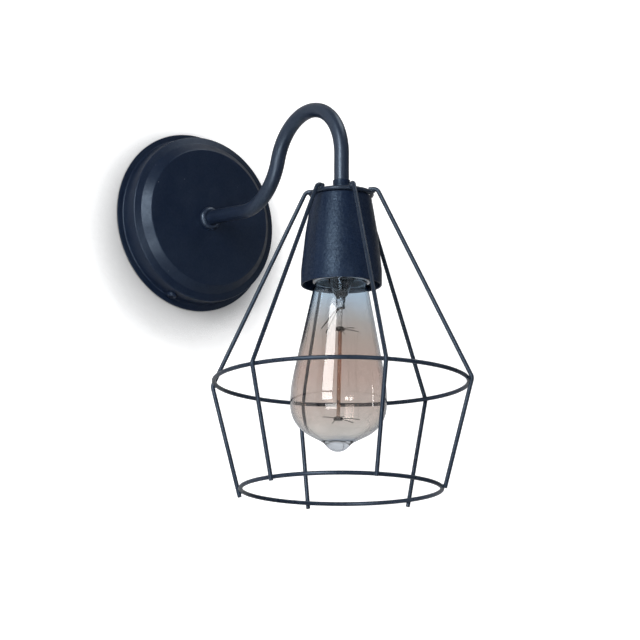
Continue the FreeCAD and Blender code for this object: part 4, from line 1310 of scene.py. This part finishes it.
    def rod(self) -> Workpiece:
        """Draw the centre rod with its two beads."""
        top = -self.pinch_end - FIT
        corners = [Corner(0.0, top), Corner(self.rod_r, top, self.small_bend)]
        for at in self.bead_at:
            foot = -at - self.bead_height
            corners += [Corner(self.rod_r, -at, self.small_bend), Corner(self.bead_r, -at, self.bead_round),
                        Corner(self.bead_r, foot, self.bead_round), Corner(self.rod_r, foot, self.small_bend)]
        corners[-1] = Corner(0.0, -self.bead_at[1] - self.bead_height)
        return Workpiece.turned(corners, steps=self.rod_flats)

    def around(self, place: float, reach: float, height: float) -> Vector:
        """Point round the bulb's axis.

        Args:
            place: Counted from the first lead, in filament steps.
            reach: Distance from the axis, in millimetres.
            height: Height, in millimetres.

        Returns:
            The point, in millimetres.
        """
        angle = math.radians(self.filament_turn) + math.tau / (self.lower_hooks + 1) * place
        return Vector((reach * math.cos(angle), reach * math.sin(angle), height))

    def hook_height(self, level: int) -> float:
        """Height of the tips of the upper (0) or lower (1) hooks."""
        return -self.bead_at[level] - self.bead_height / 2 - self.hook_droop

    def leads(self) -> Workpiece:
        """Bend the two lead wires out of the pinch."""
        both = Workpiece()
        for place in (0, self.lower_hooks):
            points = [self.around(place, reach, rise - self.pinch_end)
                      for reach, rise in (self.lead_start, self.lead_corner)]
            points.append(self.around(place, self.hook_reach[0], self.hook_height(0)))
            both.joined(Workpiece.bar(self.lead_r, points, [self.lead_bend, 0.0], self.wire_sides[0]))
        return both

    def hooks(self) -> Workpiece:
        """Bend the support wires out of the two beads."""
        every = Workpiece()
        upper = [(place, 0) for place in range(1, self.lower_hooks)]
        lower = [(index + 0.5, 1) for index in range(self.lower_hooks)]
        out, held = self.hook_middle
        for place, level in upper + lower:
            tip = self.hook_height(level)
            reach = self.hook_reach[level]
            points = [self.around(place, self.bead_r - self.hook_rooted, tip + self.hook_droop),
                      self.around(place, reach * out, tip + self.hook_droop * held),
                      self.around(place, reach, tip)]
            every.joined(Workpiece.bar(self.hook_r, points, [self.hook_bend, 0.0], self.wire_sides[1]))
        return every

    def filament(self) -> Workpiece:
        """String the wire from lead to lead, over the upper hooks and under the lower ones."""
        high = self.hook_height(0) + self.loop
        low = self.hook_height(1) - self.loop
        upper, lower = (reach - self.glow_inside for reach in self.hook_reach)
        points = [self.around(0, upper, high - 2 * self.loop)]
        for index in range(self.lower_hooks):
            below = self.around(index + 0.5, lower, low)
            above = self.around(index + 1, upper, high)
            for loop in [below] if index == self.lower_hooks - 1 else [below, above]:
                aside = Vector((-loop.y, loop.x, 0.0)).normalized() * self.loop
                points += [loop - aside, loop + aside]
        points.append(self.around(self.lower_hooks, upper, high - 2 * self.loop))
        bends = [self.glow_bend] * (len(points) - 2) + [0.0]
        return Workpiece.bar(self.glow_r, points, bends, self.wire_sides[2], self.glow_flat)

    def cap(self) -> Workpiece:
        """Roll the screw cap."""
        rim_height, rim_step, rim_end = self.cap_rim
        start, depth, bend = self.cap_thread
        crown_in, top_in, crown_bend = self.cap_crown
        root = self.cap_r - depth
        foot = start - self.cap_end
        wave = [Corner(self.cap_r, -self.cap_end),
                Corner(self.cap_r, rim_height - self.cap_end, self.cap_sheet),
                Corner(self.cap_r - rim_step, rim_end - self.cap_end, self.cap_sheet)]
        for index in range(self.cap_turns):
            low = foot + self.pitch * index
            wave += [Corner(root, low, bend), Corner(self.cap_r, low + self.pitch / 2, bend)]
        wave += [Corner(root, foot + self.pitch * self.cap_turns, bend),
                 Corner(self.cap_r - crown_in, -self.cap_top - self.cap_sheet, crown_bend),
                 Corner(self.cap_r - top_in, -self.cap_top)]
        return Workpiece.turned(wave, steps=self.cap_flats).shell(self.cap_sheet)


# ---------------------------------------------------------------- solids that stay


DRESSED_SOLIDS: tuple[tuple[Finish, tuple[str, ...]], ...] = (
    (ZINC, ("wall_bracket", "block_screws")),
    (ZINC, ("arm_washer", "arm_lock_nut", "cup_washer", "cup_lock_nut")),
    (PAINT, ("plate_screws",)),
    (BLOCK_PLASTIC, ("terminal_block",)),
    (BRASS, ("terminal_sleeves", "clamp_screws", "earth_tag", "earth_screw")),
    (BRASS, ("holder_screws", "centre_contact")),
    (BROWN, ("live_lead",)),
    (BLUE, ("neutral_lead",)),
    (GREEN, ("earth_lead",)),
    (NYLON, ("arm_bush",)),
    (BAKELITE, ("holder_cap",)),
    (PORCELAIN, ("contact_block",)),
    (NICKEL, ("bulb_button",)),
    (VITREOUS, ("bulb_insulator",)),
)


def dress_solids(nodes: dict[str, bpy.types.Object]) -> None:
    """Give the solids that stay in view their finishes.

    Args:
        nodes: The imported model's nodes, by name.
    """
    for finish, names in DRESSED_SOLIDS:
        for name in names:
            solid = nodes[name]
            solid.data.materials.clear()
            solid.data.materials.append(finish.material())
            LOG.info("%s: dressed in %s", name, finish.name)


# ---------------------------------------------------------------- studio


@dataclass
class Softbox:
    """A rectangular lamp, in metres and watts."""

    name: str
    size: Span
    power: float

    def hang(self, place: Vector, target: Vector) -> None:
        """Hang the lamp.

        Args:
            place: Where it hangs.
            target: What it looks at.
        """
        lamp = bpy.data.lights.new(self.name, "AREA")
        lamp.shape = "RECTANGLE"
        lamp.size, lamp.size_y = self.size
        lamp.energy = self.power
        made = bpy.data.objects.new(self.name, lamp)
        made.location = place
        made.rotation_mode = "QUATERNION"
        made.rotation_quaternion = (target - place).to_track_quat("-Z", "Y")
        bpy.context.scene.collection.objects.link(made)


@dataclass
class Studio:
    """White wall and pale floor with a painted shadow, soft lamps and the camera."""

    camera_place: Vector = field(default_factory=lambda: Vector((-1.261165, -1.891628, -0.548161)))
    camera_right: Vector = field(default_factory=lambda: Vector((0.809, -0.5877, 0.0022)))
    camera_up: Vector = field(default_factory=lambda: Vector((-0.1228, -0.1654, 0.9786)))
    camera_back: Vector = field(default_factory=lambda: Vector((-0.5748, -0.792, -0.2059)))
    camera_reach: Span = (0.05, 50.0)
    focal_pixels: float = 3295.11
    frame_pixels: float = 640.0
    sensor: float = 36.0
    middle: Vector = field(default_factory=lambda: Vector((0.0, -0.12, -0.08)))
    white: Shade = (0.80, 0.80, 0.80)
    wall_lift: float = 0.60
    floor_lift: float = 0.55
    gloss_share: float = 0.60
    sheet_r: float = 5000.0
    sheet_flats: int = 96
    wall_hole_r: float = 56.0
    wall_gap: float = 0.6
    floor_place: Vector = field(default_factory=lambda: Vector((0.0, -2.0, -1.3)))
    # Painted shadow on the wall and the floor, from ambient occlusion: its reach, how fast the added light
    # and the colour fade, the side it leans from, and its samples.
    painted_shadow_reach: float = 0.042
    painted_shadow_power: float = 10.0
    painted_shadow_fall: float = 1.7
    painted_shadow_from: Vector = field(default_factory=lambda: Vector((0.42, -0.70, 0.58)))
    painted_shadow_samples: int = 12
    sky_shade: Shade = (0.80, 0.86, 0.95)
    sky_strength: float = 0.12
    round_lamps: tuple[tuple[Softbox, float, float, float], ...] = (
        (Softbox("key", (0.88, 1.45), 38.0), 26.0, 17.0, 2.1),
        (Softbox("low fill", (0.90, 0.60), 12.0), 18.0, -24.0, 2.0),
        (Softbox("spark", (0.60, 0.26), 4.4), -24.0, 0.0, 2.0),
        (Softbox("left strip", (0.06, 1.40), 1.4), 62.0, 8.0, 2.0),
        (Softbox("right strip", (0.05, 0.75), 1.3), -88.0, 2.0, 1.9))
    fixed_lamps: tuple[tuple[Softbox, Triple], ...] = (
        (Softbox("rear", (1.0, 1.0), 14.0), (-0.5, 1.2, 0.5)),
        (Softbox("overhead", (1.2, 1.0), 9.0), (0.80, -0.72, 1.67)))

    def build(self) -> None:
        """Build the studio."""
        bpy.context.scene.view_settings.view_transform = "Standard"
        self.camera()
        wall = Matrix.Translation(Vector((0.0, self.wall_gap * MM, 0.0))) @ out_of_wall()
        self.sheet("wall", wall, self.wall_lift, self.wall_hole_r)
        self.sheet("floor", Matrix.Translation(self.floor_place), self.floor_lift)
        self.sky()
        for lamp, left, rise, far in self.round_lamps:
            lamp.hang(self.seen_from(left, rise, far), self.middle)
        for lamp, place in self.fixed_lamps:
            lamp.hang(Vector(place), self.middle)

    def camera(self) -> None:
        """Place the camera at the photograph's view."""
        data = bpy.data.cameras.new("camera")
        data.sensor_fit = "HORIZONTAL"
        data.sensor_width = self.sensor
        data.lens = self.focal_pixels / self.frame_pixels * self.sensor
        data.clip_start, data.clip_end = self.camera_reach
        made = bpy.data.objects.new("camera", data)
        turn = Matrix((self.camera_right, self.camera_up, self.camera_back)).transposed()
        made.matrix_world = Matrix.Translation(self.camera_place) @ turn.to_4x4()
        bpy.context.scene.collection.objects.link(made)
        bpy.context.scene.camera = made

    def pale(self, name: str, lift: float) -> bpy.types.Material:
        """Pale matt surface, clear from behind, with a shadow painted in where things stand close to it.

        Args:
            name: Name of the material.
            lift: Light added for the camera and for rays through glass.

        Returns:
            The material.
        """
        nodes = Nodes(name)
        nodes.set(Roughness=1.0, Specular_IOR_Level=0.0)
        # Painted shadow: ambient occlusion, aimed to one side, darkens the colour and fades the added light
        # near things.
        near = nodes.add("ShaderNodeAmbientOcclusion", samples=self.painted_shadow_samples)
        near.inputs["Distance"].default_value = self.painted_shadow_reach
        aim = nodes.add("ShaderNodeCombineXYZ")
        for letter, part in zip("XYZ", self.painted_shadow_from):
            aim.inputs[letter].default_value = part
        nodes.join(aim.outputs["Vector"], near.inputs["Normal"])
        free = near.outputs["AO"]
        painted_shadow = nodes.math("POWER", nodes.span(free, 0.0, 1.0, 1.0, 0.0), self.painted_shadow_fall)
        glossy = nodes.add("ShaderNodeLightPath").outputs["Is Glossy Ray"]
        lit = nodes.mix(glossy, self.white, tuple(part * self.gloss_share for part in self.white))
        nodes.drive("Base Color", nodes.mix(painted_shadow, lit, (0.0, 0.0, 0.0)))
        glow = nodes.add("ShaderNodeEmission")
        lifted = nodes.math("MULTIPLY", nodes.seen(), lift)
        # The added light fades near things as well, deepening the painted shadow.
        lifted = nodes.math("MULTIPLY", lifted, nodes.math("POWER", free, self.painted_shadow_power))
        nodes.join(lifted, glow.inputs["Strength"])
        both = nodes.add("ShaderNodeAddShader")
        nodes.join(nodes.shader.outputs["BSDF"], both.inputs[0])
        nodes.join(glow.outputs["Emission"], both.inputs[1])
        behind = nodes.add("ShaderNodeNewGeometry").outputs["Backfacing"]
        clear = nodes.add("ShaderNodeBsdfTransparent").outputs["BSDF"]
        nodes.join(nodes.mixed(behind, both.outputs[0], clear), nodes.output)
        return nodes.made

    def sheet(self, name: str, matrix: Matrix, lift: float, hole_r: float = 0.0) -> None:
        """Lay one flat round sheet of the studio.

        Args:
            name: Name of the sheet.
            matrix: Its placing, with its face looking along Z.
            lift: Light added to its material.
            hole_r: Radius of the hole in its middle, in millimetres, for the cable behind the plate.
        """
        piece = Workpiece.turned([Corner(hole_r, 0.0), Corner(self.sheet_r, 0.0)], steps=self.sheet_flats)
        piece.placed(matrix)
        aim = matrix.to_3x3() @ UP
        turned_away = [face for face in piece.bm.faces if face.normal.dot(aim) < 0]
        bmesh.ops.reverse_faces(piece.bm, faces=turned_away)
        mesh = bpy.data.meshes.new(f"studio_{name}")
        piece.bm.to_mesh(mesh)
        piece.bm.free()
        mesh.materials.append(self.pale(f"{name} white", lift))
        made = bpy.data.objects.new(f"studio_{name}", mesh)
        bpy.context.scene.collection.objects.link(made)

    def sky(self) -> None:
        """Build the world: white for the camera and through glass, and dim for all else."""
        world = bpy.data.worlds.new("pale room")
        bpy.context.scene.world = world
        world.use_nodes = True
        tree = Tree(world.node_tree)
        output = tree.add("ShaderNodeOutputWorld")
        looks = []
        for shade, strength in ((self.sky_shade, self.sky_strength), ((1.0, 1.0, 1.0), 1.0)):
            look = tree.add("ShaderNodeBackground")
            look.inputs["Color"].default_value = (*shade, 1.0)
            look.inputs["Strength"].default_value = strength
            looks.append(look.outputs[0])
        tree.join(tree.mixed(tree.seen(), *looks), output.inputs[0])

    def seen_from(self, left: float, rise: float, far: float) -> Vector:
        """Place of a lamp, given from where the camera stands.

        Args:
            left: How far left of the camera it stands, in degrees round the light.
            rise: Its height over the horizon, in degrees.
            far: Its distance, in metres.

        Returns:
            The place.
        """
        level = Vector((self.camera_back.x, self.camera_back.y, 0.0)).normalized()
        level.rotate(Matrix.Rotation(math.radians(-left), 3, "Z"))
        climb = math.radians(rise)
        return self.middle + (level * math.cos(climb) + UP * math.sin(climb)) * far


def main() -> None:
    """Build the dressed light round its solids."""
    logging.basicConfig(level=logging.INFO, format="%(message)s")
    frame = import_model()
    Studio().build()
    dress_solids(frame["nodes"])
    for part in (WallPlate(), SwanArm(), LampCup(), LampHolder(), WireCage(), FilamentBulb()):
        part.build()


if __name__ == "__main__":
    main()
